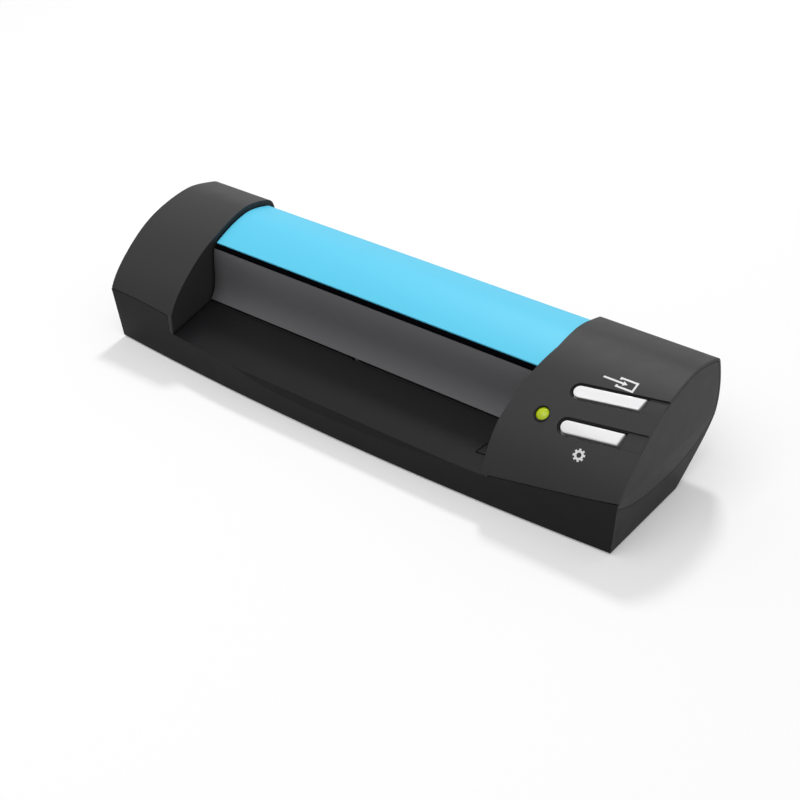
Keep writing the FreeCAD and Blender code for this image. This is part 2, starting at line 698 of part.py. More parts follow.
def pinch_roller(y):
    """A pinch shaft with its short rollers."""
    low, high = pinch_bearings()[0], pinch_bearings()[-1]
    half = PINCH_POST_T / 2.0 + 0.8
    parts = [rod_x(low - half, high + half, y, PINCH_Z, PINCH_SHAFT_R)]
    for x in sleeve_centres():
        parts.append(rod_x(x - PINCH_LEN / 2.0, x + PINCH_LEN / 2.0, y, PINCH_Z, PINCH_R))
    return fuse(parts)


def cheeks():
    """The inner and outer faces of the two side cheeks of the paper bed, left then right."""
    half = SENSOR_LEN / 2.0 + 0.6
    return [(CHANNEL_MID_X - half - CHEEK_T, CHANNEL_MID_X - half),
            (CHANNEL_MID_X + half, CHANNEL_MID_X + half + CHEEK_T)]


def paper_bed():
    """The frame under the paper path: a plate with windows, two cheeks and screw tabs."""
    plate_low = DECK_Z - 1.2
    plate = box(LEFT_WALL_X - 1, RIGHT_REAR_X, LEDGE_REAR_Y + 0.3, REAR_RIM_Y - 1.3, plate_low, DECK_Z)
    plate = plate.common(channel(-0.15))
    parts = [plate]
    front, rear = FRONT_ROLLER_Y - 4.0, REAR_ROLLER_Y + 5.5
    side = [(front, DECK_Z - 0.5), (front, WALL), (rear - 11.4, WALL), (rear - 0.9, DECK_Z - 3.0),
            (rear, DECK_Z - 0.5)]
    for x0, x1 in cheeks():
        parts.append(polygon_x(side, x0, x1))
    for x, y in BED_SCREW_XY:
        parts.append(box(x - 4, x + 4, y - BED_TAB_REACH, 16.0, BED_TAB_Z, BED_TAB_Z + BED_TAB_T))
        parts.append(box(x - 4, x + 4, LEDGE_REAR_Y + 0.3, LEDGE_REAR_Y + 1.8, BED_TAB_Z, plate_low))
    for x in flag_lugs():
        parts.append(box(x - 0.8, x + 0.8, FLAG_Y - 1.6, FLAG_Y + 2.6, FLAG_Z - 1.6, FLAG_Z + 1.8))
        parts.append(box(x - 0.8, x + 0.8, LEDGE_REAR_Y + 0.3, FLAG_Y + 2.6, FLAG_Z, plate_low))
    bed = fuse(parts)
    for y in (FRONT_ROLLER_Y, REAR_ROLLER_Y):
        for x in sleeve_centres():
            half = SLEEVE_LEN / 2.0 + 0.6
            bed = bed.cut(box(x - half, x + half, y - 2.9, y + 2.9, plate_low - 1, DECK_Z + 1))
        bed = bed.cut(rod_x(-HALF, HALF, y, DRIVE_Z, BUSH_R))
    half = SENSOR_LEN / 2.0 + 0.3
    opening = box(CHANNEL_MID_X - half, CHANNEL_MID_X + half, SENSOR_Y - SENSOR_W / 2 - 0.3,
                  SENSOR_Y + SENSOR_W / 2 + 0.3, plate_low - 1, DECK_Z + 1)
    bed = bed.cut(opening)
    swing = (FLAG_TIP_Z - FLAG_Z) * math.sin(math.radians(FLAG_TURN))
    slot_end = FLAG_Y + FLAG_REACH + swing + 0.5
    bed = bed.cut(box(CHANNEL_MID_X - 1.1, CHANNEL_MID_X + 1.1, LEDGE_REAR_Y, slot_end,
                      FLAG_Z + 1.8, DECK_Z + 1))
    bed = bed.cut(rod_x(CHANNEL_MID_X - 10, CHANNEL_MID_X + 10, FLAG_Y, FLAG_Z, FLAG_PIN_R))
    for x, y in BED_SCREW_XY:
        bed = bed.cut(rod_z(x, y, 0, 20, SMALL_SCREW_R + 0.1))
    bed = bed.cut(box(0, HALF, SENSOR_Y - 3.5, SENSOR_Y + 3.5, CABLE_Z - 0.6, CABLE_Z + 0.6))
    for y in (FRONT_ROLLER_Y, REAR_ROLLER_Y):
        for x0, x1 in ((-HALF, cheeks()[0][0]), (cheeks()[1][1], HALF)):
            bed = bed.cut(rod_x(x0, x1, y, DRIVE_Z, BUSH_FLANGE_R + 0.1))
    return bed.removeSplitter()


def flag_lugs():
    """The middles of the two lugs that hold the paper flag's pin."""
    return [CHANNEL_MID_X - 3.2, CHANNEL_MID_X + 3.2]


def paper_flag():
    """The sensing lever: a hub, an arm that reaches into the path and a shutter arm."""
    hub = rod_x(CHANNEL_MID_X - 2.2, CHANNEL_MID_X + 2.2, FLAG_Y, FLAG_Z, FLAG_PIN_R + 0.8)
    arm = polygon_x([(FLAG_Y - 0.5, FLAG_Z + 0.4), (FLAG_Y + 0.9, FLAG_Z - 0.3), (FLAG_Y + FLAG_REACH, 12.6),
                     (FLAG_Y + FLAG_REACH, FLAG_TIP_Z), (FLAG_Y + 2.4, FLAG_TIP_Z)],
                    CHANNEL_MID_X - 0.7, CHANNEL_MID_X + 0.7)
    shutter = polygon_x([(FLAG_Y + 0.7, FLAG_Z), (FLAG_Y - 0.7, FLAG_Z + 0.4), (FLAG_Y - 3.6, FLAG_Z - 3.4),
                         (FLAG_Y - 1.4, FLAG_Z - 4.6)], CHANNEL_MID_X - 0.5, CHANNEL_MID_X + 0.5)
    flag = fuse([hub, arm, shutter])
    return flag.cut(rod_x(CHANNEL_MID_X - 5, CHANNEL_MID_X + 5, FLAG_Y, FLAG_Z, FLAG_PIN_R + RUN_CLEAR))


def flag_sensor():
    """The forked light gate that the flag's shutter stands in."""
    gate = box(CHANNEL_MID_X - 3.0, CHANNEL_MID_X + 3.0, FLAG_Y - 5.0, FLAG_Y - 1.0, WALL, 6.0)
    return gate.cut(box(CHANNEL_MID_X - 1.0, CHANNEL_MID_X + 1.0, 0, 20, WALL + 1.0, 7))


def drive_shaft(y):
    """A steel drive shaft."""
    return rod_x(GEAR_PLANE_X, cheeks()[1][1] + 1.1, y, DRIVE_Z, SHAFT_R)


def drive_sleeves(y):
    """The rubber sleeves of one drive shaft."""
    sleeves = []
    for x in sleeve_centres():
        sleeve = rod_x(x - SLEEVE_LEN / 2.0, x + SLEEVE_LEN / 2.0, y, DRIVE_Z, DRIVE_R)
        sleeves.append(sleeve.cut(rod_x(x - SLEEVE_LEN, x + SLEEVE_LEN, y, DRIVE_Z, SHAFT_R)))
    return Part.makeCompound(sleeves)


def roller_bushes():
    """Four flanged bushes, pressed into the cheeks from outside."""
    bushes = []
    (left, left_in), (right_in, right) = cheeks()
    for y in (FRONT_ROLLER_Y, REAR_ROLLER_Y):
        for face, inner, out in ((left, left_in, -1), (right, right_in, 1)):
            sleeve = rod_x(min(face, inner), max(face, inner), y, DRIVE_Z, BUSH_R)
            rim = rod_x(min(face, face + out * BUSH_FLANGE_T), max(face, face + out * BUSH_FLANGE_T),
                        y, DRIVE_Z, BUSH_FLANGE_R)
            bore = rod_x(-HALF, HALF, y, DRIVE_Z, SHAFT_R + RUN_CLEAR)
            bushes.append(sleeve.fuse(rim).cut(bore))
    return Part.makeCompound(bushes)


def sensor_bar():
    """The image sensor's housing, with a rim round its glass and a light slot."""
    half = SENSOR_LEN / 2.0
    low = DECK_Z - 0.2 - SENSOR_H
    bar = box(CHANNEL_MID_X - half, CHANNEL_MID_X + half, SENSOR_Y - SENSOR_W / 2, SENSOR_Y + SENSOR_W / 2,
              low, DECK_Z - 0.2)
    edge = GLASS_EDGE - 0.05
    seat = box(CHANNEL_MID_X - half + edge, CHANNEL_MID_X + half - edge, SENSOR_Y - SENSOR_W / 2 + edge,
               SENSOR_Y + SENSOR_W / 2 - edge, DECK_Z - GLASS_T, DECK_Z + 1)
    slot_cut = box(CHANNEL_MID_X - half + 2, CHANNEL_MID_X + half - 2, SENSOR_Y - 1.2, SENSOR_Y + 1.2,
                   DECK_Z - GLASS_T - 3.0, DECK_Z)
    return bar.cut(seat).cut(slot_cut)


def sensor_glass():
    """The glass strip over the image sensor, level with the paper bed."""
    half = SENSOR_LEN / 2.0 - GLASS_EDGE
    wide = SENSOR_W / 2.0 - GLASS_EDGE
    return box(CHANNEL_MID_X - half, CHANNEL_MID_X + half, SENSOR_Y - wide, SENSOR_Y + wide,
               DECK_Z - GLASS_T, DECK_Z)


def sensor_pads():
    """The foam pads that press the sensor up against the paper path."""
    pads = []
    for x in spring_places():
        pads.append(box(x - PAD_LEN / 2, x + PAD_LEN / 2, SENSOR_Y - 3, SENSOR_Y + 2.4, WALL,
                        DECK_Z - 0.2 - SENSOR_H))
    return Part.makeCompound(pads)


def involute_point(base, pitch_r, half_angle, radius):
    """The angle of a tooth flank at a radius, measured from the tooth's middle line."""
    if radius <= base:
        radius = base
    alpha = math.acos(base / radius)
    pitch_alpha = math.acos(base / pitch_r)
    return half_angle - (math.tan(alpha) - alpha) + (math.tan(pitch_alpha) - pitch_alpha)


def gear(teeth, centre, x0, width, phase, bore):
    """A spur gear with involute flanks; phase is the angle of one tooth from +Y towards +Z."""
    pitch_r = MODULE * teeth / 2.0
    base = pitch_r * math.cos(math.radians(PRESSURE_ANGLE))
    tip = pitch_r + 0.9 * MODULE
    root = pitch_r - 1.2 * MODULE
    half_angle = (math.pi * MODULE / 2.0 - BACKLASH) / 2.0 / pitch_r
    flank = [(root, involute_point(base, pitch_r, half_angle, root))]
    for radius in (pitch_r, tip):
        flank.append((radius, involute_point(base, pitch_r, half_angle, radius)))
    points = []
    for i in range(teeth):
        middle = phase + 2.0 * math.pi * i / teeth
        for radius, angle in flank:
            points.append((radius, middle - angle))
        for radius, angle in reversed(flank):
            points.append((radius, middle + angle))
    outline = [(centre[0] + r * math.cos(a), centre[1] + r * math.sin(a)) for r, a in points]
    blank = polygon_x(outline, x0, x0 + width)
    return blank.cut(rod_x(x0 - 1, x0 + width + 1, centre[0], centre[1], bore))


def meshed_phase(driver_teeth, driver_phase, driver_centre, teeth, centre):
    """The phase that puts a gap of the second gear on the nearest tooth of the first."""
    angle = math.atan2(centre[1] - driver_centre[1], centre[0] - driver_centre[0])
    pitch = 2.0 * math.pi / driver_teeth
    ahead = (driver_phase - angle + pitch / 2.0) % pitch - pitch / 2.0
    shift = -ahead * driver_teeth / float(teeth)
    return angle + math.pi + shift + math.pi / teeth


def apart(first, second):
    """The distance between the centres of two meshed gears."""
    return MODULE * (first + second) / 2.0


def train():
    """Centres and phases of the gear train, from the front roller to the motor."""
    front = (FRONT_ROLLER_Y, DRIVE_Z)
    rear = (REAR_ROLLER_Y, DRIVE_Z)
    reach = apart(ROLLER_TEETH, IDLER_TEETH)
    rise = math.sqrt(reach ** 2 - (SENSOR_Y - FRONT_ROLLER_Y) ** 2)
    idler = (SENSOR_Y, DRIVE_Z + rise)
    step = apart(IDLER_TEETH, SMALL_TEETH)
    compound = (idler[0] + step * COMPOUND_DIR[0], idler[1] + step * COMPOUND_DIR[1])
    step = apart(BIG_TEETH, PINION_TEETH)
    pinion = (compound[0] + step * PINION_DIR[0], compound[1] + step * PINION_DIR[1])
    idler_phase = meshed_phase(ROLLER_TEETH, 0.0, front, IDLER_TEETH, idler)
    rear_phase = meshed_phase(IDLER_TEETH, idler_phase, idler, ROLLER_TEETH, rear)
    small_phase = meshed_phase(IDLER_TEETH, idler_phase, idler, SMALL_TEETH, compound)
    pinion_phase = meshed_phase(BIG_TEETH, 0.0, compound, PINION_TEETH, pinion)
    return {"front": (front, 0.0), "rear": (rear, rear_phase), "idler": (idler, idler_phase),
            "compound": (compound, small_phase), "pinion": (pinion, pinion_phase)}


def place_gear(wheels, name):
    """Centre, start, width and phase of a single gear in the roller gears' plane."""
    centre, phase = wheels[name]
    return centre, GEAR_PLANE_X, GEAR_W, phase


def compound_gear(centre, phase):
    """A large and a small gear in one piece, with a hub between them."""
    bore = POST_R + RUN_CLEAR
    small = gear(SMALL_TEETH, centre, GEAR_PLANE_X, GEAR_W, phase, bore)
    big = gear(BIG_TEETH, centre, BIG_PLANE_X, GEAR_W, 0.0, bore)
    hub = rod_x(BIG_PLANE_X + GEAR_W, GEAR_PLANE_X, centre[0], centre[1], 1.9)
    hub = hub.cut(rod_x(-HALF, HALF, centre[0], centre[1], bore))
    return fuse([small, hub, big])


def gear_plate(wheels):
    """The steel plate that carries the motor and the gear posts, with a bent foot."""
    front, rear = FRONT_ROLLER_Y - 2.1, REAR_ROLLER_Y - 0.4
    outline = [(front, 2.6 + PLATE_FOOT_Z), (front, 22.0), (front + 5.5, 31.0), (rear - 0.5, 32.2),
               (rear + 3.3, 27.0), (rear, 12.0), (rear - 2.1, PLATE_FOOT_Z), (front + 0.5, PLATE_FOOT_Z)]
    plate = polygon_x(outline, PLATE_X, PLATE_X + PLATE_T)
    foot = box(PLATE_X - 7.0, PLATE_X + PLATE_T, front + 0.5, rear - 2.1, PLATE_FOOT_Z,
               PLATE_FOOT_Z + PLATE_T)
    plate = fuse([plate, foot])
    y, z = wheels["pinion"][0]
    plate = plate.cut(rod_x(-HALF, 0, y, z, PINION_HOLE_R))
    for side in (-1, 1):
        plate = plate.cut(rod_x(-HALF, 0, y, z + side * EAR_Z, SMALL_SCREW_R))
    for name in ("idler", "compound"):
        y, z = wheels[name][0]
        plate = plate.cut(rod_x(-HALF, 0, y, z, POST_R))
    for x, y in PLATE_SCREW_XY:
        plate = plate.cut(rod_z(x, y, 0, 10, SMALL_SCREW_R + 0.1))
    return plate


def gear_posts(wheels):
    """The steel posts of the idler and of the compound gear."""
    posts = []
    for name in ("idler", "compound"):
        y, z = wheels[name][0]
        posts.append(rod_x(PLATE_X, GEAR_PLANE_X + GEAR_W + 0.7, y, z, POST_R))
    spacer_y, spacer_z = wheels["idler"][0]
    collar = rod_x(PLATE_X + PLATE_T, GEAR_PLANE_X - 0.15, spacer_y, spacer_z, POST_R + 0.05)
    posts[0] = posts[0].fuse(collar)
    return Part.makeCompound(posts)


def retaining_rings(wheels):
    """The snap rings at the ends of the posts."""
    rings = []
    for name in ("idler", "compound"):
        y, z = wheels[name][0]
        x = GEAR_PLANE_X + GEAR_W + 0.12
        rings.append(rod_x(x, x + 0.4, y, z, 2.0).cut(rod_x(x - 1, x + 1, y, z, POST_R)))
    return Part.makeCompound(rings)


def motor(wheels):
    """The motor can with a stepped rear cap, a front flange and two ears."""
    y, z = wheels["pinion"][0]
    can = rod_x(PLATE_X - MOTOR_LEN, PLATE_X, y, z, MOTOR_R)
    rear = rod_x(PLATE_X - MOTOR_LEN - MOTOR_CAP, PLATE_X - MOTOR_LEN, y, z, MOTOR_R - 2.5)
    ears = []
    for side in (-1, 1):
        ear = rod_x(PLATE_X - 0.8, PLATE_X, y, z + side * EAR_Z, 1.9)
        web = box(PLATE_X - 0.8, PLATE_X, y - 1.9, y + 1.9, min(z, z + side * EAR_Z),
                  max(z, z + side * EAR_Z))
        ears += [ear, web]
    body_shape = fuse([can, rear] + ears)
    body_shape = body_shape.cut(rod_x(PLATE_X - MOTOR_LEN + 1, 0, y, z, MOTOR_SHAFT_R + RUN_CLEAR))
    for side in (-1, 1):
        body_shape = body_shape.cut(rod_x(PLATE_X - 2, 0, y, z + side * EAR_Z, SMALL_SCREW_R + 0.05))
    return body_shape


def motor_pinion(wheels):
    """The motor's shaft with its pinion."""
    (y, z), phase = wheels["pinion"]
    shaft = rod_x(PLATE_X - MOTOR_LEN + 1.3, BIG_PLANE_X + GEAR_W + 0.4, y, z, MOTOR_SHAFT_R)
    wheel = gear(PINION_TEETH, (y, z), BIG_PLANE_X, GEAR_W, phase, MOTOR_SHAFT_R * 0.5)
    return fuse([shaft, wheel])


def motor_screws(wheels):
    """The two screws through the motor's ears."""
    y, z = wheels["pinion"][0]
    screws = []
    for side in (-1, 1):
        place = (y, z + side * EAR_Z)
        shank = rod_x(PLATE_X - 0.8, PLATE_X + PLATE_T, place[0], place[1], SMALL_SCREW_R)
        head = rod_x(PLATE_X - 0.8 - SMALL_HEAD_T, PLATE_X - 0.8, place[0], place[1], SMALL_HEAD_R)
        screws.append(shank.fuse(head))
    return Part.makeCompound(screws)


def screw(x, y, head_z, length, radius, head_r, head_t, up=False):
    """A screw along Z with its head below (up) or above."""
    if up:
        head = rod_z(x, y, head_z - head_t, head_z, head_r)
        return head.fuse(rod_z(x, y, head_z, head_z + length, radius))
    head = rod_z(x, y, head_z, head_z + head_t, head_r)
    return head.fuse(rod_z(x, y, head_z - length, head_z, radius))


def case_screws():
    """The screws that hold the end housings, from below."""
    return Part.makeCompound([screw(x, y, POST_TOP - 2.5, CASE_SCREW_LEN, SCREW_R, SCREW_HEAD_R,
                                    SCREW_HEAD_T, True) for x, y in CASE_SCREW_XY])


def small_screws():
    """The screws that hold the paper bed, the gear plate and the main board."""
    screws = []
    tops = ((BED_SCREW_XY, BED_TAB_Z + BED_TAB_T), (PLATE_SCREW_XY, PLATE_FOOT_Z + PLATE_T),
            (BOARD_SCREW_XY, BOARD_Z + BOARD_T))
    for places, top in tops:
        for x, y in places:
            length = min(SMALL_SCREW_LEN, top - WALL)
            screws.append(screw(x, y, top, length, SMALL_SCREW_R, SMALL_HEAD_R, SMALL_HEAD_T))
    return Part.makeCompound(screws)


def main_board():
    """The main circuit board in the right housing, with room for the case bosses."""
    board = box(BOARD_X[0], BOARD_X[1], BOARD_Y[0], BOARD_Y[1], BOARD_Z, BOARD_Z + BOARD_T)
    room = BOSS_R + BOARD_ROOM
    for x, y in CASE_SCREW_XY:
        if x > 0:
            board = board.cut(rod_z(x, y, 0, 30, room))
        if x + room > BOARD_X[1] - 1.0:
            board = board.cut(box(x, BOARD_X[1] + 1.0, y - room, y + room, 0, 30))
    for x, y in BOARD_SCREW_XY:
        board = board.cut(rod_z(x, y, 0, 30, SMALL_SCREW_R + 0.1))
    return board


def board_parts():
    """Chips and a flat-cable connector on the main board."""
    top = BOARD_Z + BOARD_T
    x0, y0 = BOARD_X[0], BOARD_Y[0]
    return Part.makeCompound([box(x0 + 10.5, x0 + 20.5, y0 + 8.5, y0 + 18.5, top, top + 1.2),
                              box(x0 + 4.5, x0 + 9.5, y0 + 12.5, y0 + 16.5, top, top + 1.0),
                              box(x0 + 14.5, x0 + 18.5, y0 + 22.5, y0 + 25.5, top, top + 1.5),
                              box(x0 + 0.8, x0 + 4.5, SENSOR_Y - 4, SENSOR_Y + 4, top, top + 1.8)])


def usb_socket():
    """The cable inlet: a small flared metal shell with a tongue, facing the rear."""
    half = SOCKET_W / 2.0
    z0 = BOARD_Z + BOARD_T
    outline = [(SOCKET_X - half + 1.0, z0), (SOCKET_X + half - 1.0, z0), (SOCKET_X + half, z0 + 1.6),
               (SOCKET_X + half, z0 + SOCKET_H), (SOCKET_X - half, z0 + SOCKET_H),
               (SOCKET_X - half, z0 + 1.6)]
    y1 = SOCKET_MOUTH_Y
    wire = Part.makePolygon([V(x, y1 - SOCKET_LEN, z) for x, z in outline + outline[:1]])
    shell = Part.Face(wire).extrude(V(0, SOCKET_LEN, 0))
    inner = Part.Face(wire.makeOffset2D(-0.35)).extrude(V(0, SOCKET_LEN, 0))
    inner.translate(V(0, 0.8, 0))
    shell = shell.cut(inner)
    tongue = box(SOCKET_X - 2.2, SOCKET_X + 2.2, y1 - SOCKET_LEN + 0.5, y1 - 1.5,
                 z0 + 2.1, z0 + 2.9)
    return shell.fuse(tongue)


def switch_board():
    """The small inclined board under the keys."""
    board = Part.makeBox(SWITCH_BOARD_U[1] - SWITCH_BOARD_U[0], 17.0, 1.0,
                         V(SWITCH_BOARD_U[0], -8.5, -SWITCH_BOARD_DEPTH - 1.0))
    board.Placement = key_place().multiply(board.Placement)
    return board


def key_switches():
    """The two push switches and the lamp's light source on the switch board."""
    parts = []
    for key in (SCAN_KEY, CUSTOM_KEY):
        base = Part.makeBox(5.0, 5.0, SWITCH_H - 0.7, V(-2.5, -2.5, -SWITCH_BOARD_DEPTH))
        button = Part.makeCylinder(1.4, 0.7, V(0, 0, -SWITCH_BOARD_DEPTH + SWITCH_H - 0.7))
        parts.append(tilted(base.fuse(button), key))
    light = Part.makeBox(2.0, 1.6, 0.8, V(LAMP_U - 1.0, LAMP_V - 0.8, -SWITCH_BOARD_DEPTH))
    light.Placement = key_place().multiply(light.Placement)
    return Part.makeCompound(parts + [light])


def status_lamp():
    """The domed light guide of the status lamp."""
    stem = lamp_place(-SWITCH_BOARD_DEPTH + 1.0, 0.0, LAMP_R)
    dome = Part.makeSphere(LAMP_R * 1.6, V(LAMP_U, LAMP_V, LAMP_TOP - LAMP_R * 1.6))
    dome.Placement = key_place().multiply(dome.Placement)
    return stem.cut(lamp_place(LAMP_TOP - 0.9, 4, LAMP_R * 2)).fuse(
        dome.common(lamp_place(LAMP_TOP - 0.9, 2, LAMP_R)))


def board_ribbon():
    """The flat cable from the switch board's lower edge down to the main board."""
    low = BOARD_Z + BOARD_T + 0.6
    strip = polygon_x([(20.5, 24.9), (24.0, 22.0), (24.0, low), (24.3, low), (24.3, 22.2), (20.7, 25.1)],
                      BOARD_X[1] - 6.0, BOARD_X[1] - 2.0)
    return strip


def sensor_cable():
    """The flat cable from the end of the sensor bar to the main board."""
    x0 = CHANNEL_MID_X + SENSOR_LEN / 2.0
    y0 = SENSOR_Y - 3.0
    rise_x, top_z = BOARD_X[0] - 0.9, BOARD_Z + BOARD_T + 2.0
    points = [(x0, CABLE_Z), (rise_x - 1.2, CABLE_Z), (rise_x, CABLE_Z + 1.2), (rise_x, top_z - 0.8),
              (rise_x + 0.8, top_z), (BOARD_X[0] + 3.0, top_z)]
    half = 0.15
    outer = [(x, z + half) for x, z in points]
    inner = [(x, z - half) for x, z in points]
    outer[2] = (points[2][0] - half, points[2][1] + half)
    inner[2] = (points[2][0] + half, points[2][1] - half)
    outer[3] = (points[3][0] - half, points[3][1] + half)
    inner[3] = (points[3][0] + half, points[3][1] - half)
    loop = outer + inner[::-1]
    wire = Part.makePolygon([V(x, y0, z) for x, z in loop + loop[:1]])
    return Part.Face(wire).extrude(V(0, 6, 0))


def rubber_feet():
    """Four round feet, let into the floor."""
    return Part.makeCompound([rod_z(x, y, -FOOT_PROUD, FOOT_T - FOOT_PROUD, FOOT_R) for x, y in FOOT_XY])


def save(node, shape):
    """Write one named piece in the scanner's own frame."""
    moved = shape.copy()
    moved.translate(V(0, -MID_Y, FOOT_PROUD))
    moved.exportStep("parts/" + node + ".step")


def main():
    """Build every piece and write it."""
    os.makedirs("parts", exist_ok=True)
    wheels = train()
    pieces = {
        "lower_case": lower_case(),
        "left_housing": housing(-1),
        "right_housing": housing(1),
        "left_end_panel": end_panel(-1),
        "right_end_panel": end_panel(1),
        "cover_shell": cover_shell(),
        "cover_panel": cover_panel(),
        "cover_guide": cover_guide(),
        "calibration_strip": calibration_strip(),
        "pinch_springs": pinch_springs(),
        "hinge_pins": hinge_pins(),
        "front_pinch_roller": pinch_roller(FRONT_ROLLER_Y),
        "rear_pinch_roller": pinch_roller(REAR_ROLLER_Y),
        "paper_bed": paper_bed(),
        "paper_flag": paper_flag(),
        "flag_pin": rod_x(CHANNEL_MID_X - 5, CHANNEL_MID_X + 5, FLAG_Y, FLAG_Z, FLAG_PIN_R),
        "flag_sensor": flag_sensor(),
        "front_drive_shaft": drive_shaft(FRONT_ROLLER_Y),
        "front_drive_sleeves": drive_sleeves(FRONT_ROLLER_Y),
        "rear_drive_shaft": drive_shaft(REAR_ROLLER_Y),
        "rear_drive_sleeves": drive_sleeves(REAR_ROLLER_Y),
        "roller_bushes": roller_bushes(),
        "sensor_bar": sensor_bar(),
        "sensor_glass": sensor_glass(),
        "sensor_pads": sensor_pads(),
        "sensor_cable": sensor_cable(),
        "gear_plate": gear_plate(wheels),
        "gear_posts": gear_posts(wheels),
        "retaining_rings": retaining_rings(wheels),
        "motor": motor(wheels),
        "motor_pinion": motor_pinion(wheels),
        "motor_screws": motor_screws(wheels),
        "front_roller_gear": gear(ROLLER_TEETH, *place_gear(wheels, "front"), bore=SHAFT_R),
        "rear_roller_gear": gear(ROLLER_TEETH, *place_gear(wheels, "rear"), bore=SHAFT_R),
        "idler_gear": gear(IDLER_TEETH, *place_gear(wheels, "idler"), bore=POST_R + 2 * RUN_CLEAR),
        "compound_gear": compound_gear(*wheels["compound"]),
        "scan_key": key_solid(SCAN_KEY),
        "custom_key": key_solid(CUSTOM_KEY),
        "status_lamp": status_lamp(),
        "switch_board": switch_board(),
        "key_switches": key_switches(),
        "switch_cable": board_ribbon(),
        "main_board": main_board(),
        "board_parts": board_parts(),
        "usb_socket": usb_socket(),
        "case_screws": case_screws(),
        "small_screws": small_screws(),
        "rubber_feet": rubber_feet(),
    }
    for node, shape in pieces.items():
        save(node, shape)


if __name__ == "__main__":
    main()
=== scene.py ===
"""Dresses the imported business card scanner: its finishes, its finer pieces and a plain pale studio."""

import json
import logging
import math
from dataclasses import dataclass, field
from enum import Enum
from typing import Any

import bmesh
import bpy
from mathutils import Matrix, Vector
from mathutils.bvhtree import BVHTree


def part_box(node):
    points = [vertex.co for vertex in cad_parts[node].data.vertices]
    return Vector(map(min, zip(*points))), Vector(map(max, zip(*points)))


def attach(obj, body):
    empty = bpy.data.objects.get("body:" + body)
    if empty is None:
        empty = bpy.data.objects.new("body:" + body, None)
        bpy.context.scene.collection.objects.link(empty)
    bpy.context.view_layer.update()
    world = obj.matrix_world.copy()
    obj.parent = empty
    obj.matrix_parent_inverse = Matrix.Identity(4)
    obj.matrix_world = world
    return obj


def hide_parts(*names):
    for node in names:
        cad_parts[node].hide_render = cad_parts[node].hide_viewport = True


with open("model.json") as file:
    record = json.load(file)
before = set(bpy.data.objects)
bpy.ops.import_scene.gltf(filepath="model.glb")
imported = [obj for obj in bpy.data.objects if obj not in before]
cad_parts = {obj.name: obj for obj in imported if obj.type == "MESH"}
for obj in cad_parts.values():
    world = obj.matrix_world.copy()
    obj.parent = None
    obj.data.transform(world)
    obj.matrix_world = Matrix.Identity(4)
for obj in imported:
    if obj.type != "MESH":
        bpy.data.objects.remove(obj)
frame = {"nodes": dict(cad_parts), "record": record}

LOG = logging.getLogger("card_scanner")
MM = 0.001
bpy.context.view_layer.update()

Colour = tuple[float, float, float]


class Graph:
    """A material's node tree, built one node at a time."""

    def __init__(self, name: str) -> None:
        """Start an empty tree.

        Args:
            name: The material's name.
        """
        self.material = bpy.data.materials.new(name)
        self.material.use_nodes = True
        self.nodes = self.material.node_tree.nodes
        self.links = self.material.node_tree.links
        self.nodes.clear()
        self.output = self.nodes.new("ShaderNodeOutputMaterial")

    def add(self, kind: str, inputs: dict[Any, Any] | None = None, **settings: Any) -> bpy.types.Node:
        """Add a node.

        Args:
            kind: The node's type, without "ShaderNode".
            inputs: Values or other nodes' sockets for its inputs, by name or number.
            **settings: The node's own settings.

        Returns:
            The new node.
        """
        node = self.nodes.new("ShaderNode" + kind)
        for key, value in settings.items():
            setattr(node, key, value)
        for key, value in (inputs or {}).items():
            if isinstance(value, bpy.types.NodeSocket):
                self.links.new(value, node.inputs[key])
            else:
                node.inputs[key].default_value = value
        return node

    def place(self, stretch: Colour = (1.0, 1.0, 1.0), turn: Colour = (0.0, 0.0, 0.0)) -> bpy.types.NodeSocket:
        """Object coordinates, stretched and turned.

        Args:
            stretch: Scale along each axis.
            turn: Rotation about each axis, in radians.

        Returns:
            The vector socket.
        """
        coordinates = self.add("TexCoord")
        mapping = self.add("Mapping", {"Vector": coordinates.outputs["Object"], "Scale": stretch, "Rotation": turn})
        return mapping.outputs["Vector"]

    def noise(self, place: bpy.types.NodeSocket, size: float, detail: float = 2.0) -> bpy.types.NodeSocket:
        """Smooth noise from 0 to 1.

        Args:
            place: Where it is read.
            size: The size of its patches, in metres.
            detail: How many finer layers it has.

        Returns:
            The value socket.
        """
        node = self.add("TexNoise", {"Vector": place, "Scale": 1.0 / size, "Detail": detail})
        return node.outputs["Fac"]

    def remap(self, value: bpy.types.NodeSocket, low: float, high: float, start: float = 0.3,
              end: float = 0.7) -> bpy.types.NodeSocket:
        """Map the span from start to end onto low to high, held at both ends."""
        node = self.add("MapRange", {"Value": value, "From Min": start, "From Max": end, "To Min": low,
                                     "To Max": high})
        return node.outputs["Result"]

    def math(self, operation: str, first: Any, second: Any = 0.0) -> bpy.types.NodeSocket:
        """One step of arithmetic on two values."""
        return self.add("Math", {0: first, 1: second}, operation=operation).outputs[0]

    def blend(self, share: Any, first: Any, second: Any, mode: str = "MIX") -> bpy.types.NodeSocket:
        """Mix two colours by a share."""
        node = self.add("Mix", {"Factor": share, 6: first, 7: second}, data_type="RGBA", blend_type=mode)
        return node.outputs[2]


def rgba(colour: Colour) -> tuple[float, float, float, float]:
    """A colour with full alpha."""
    return (*colour, 1.0)


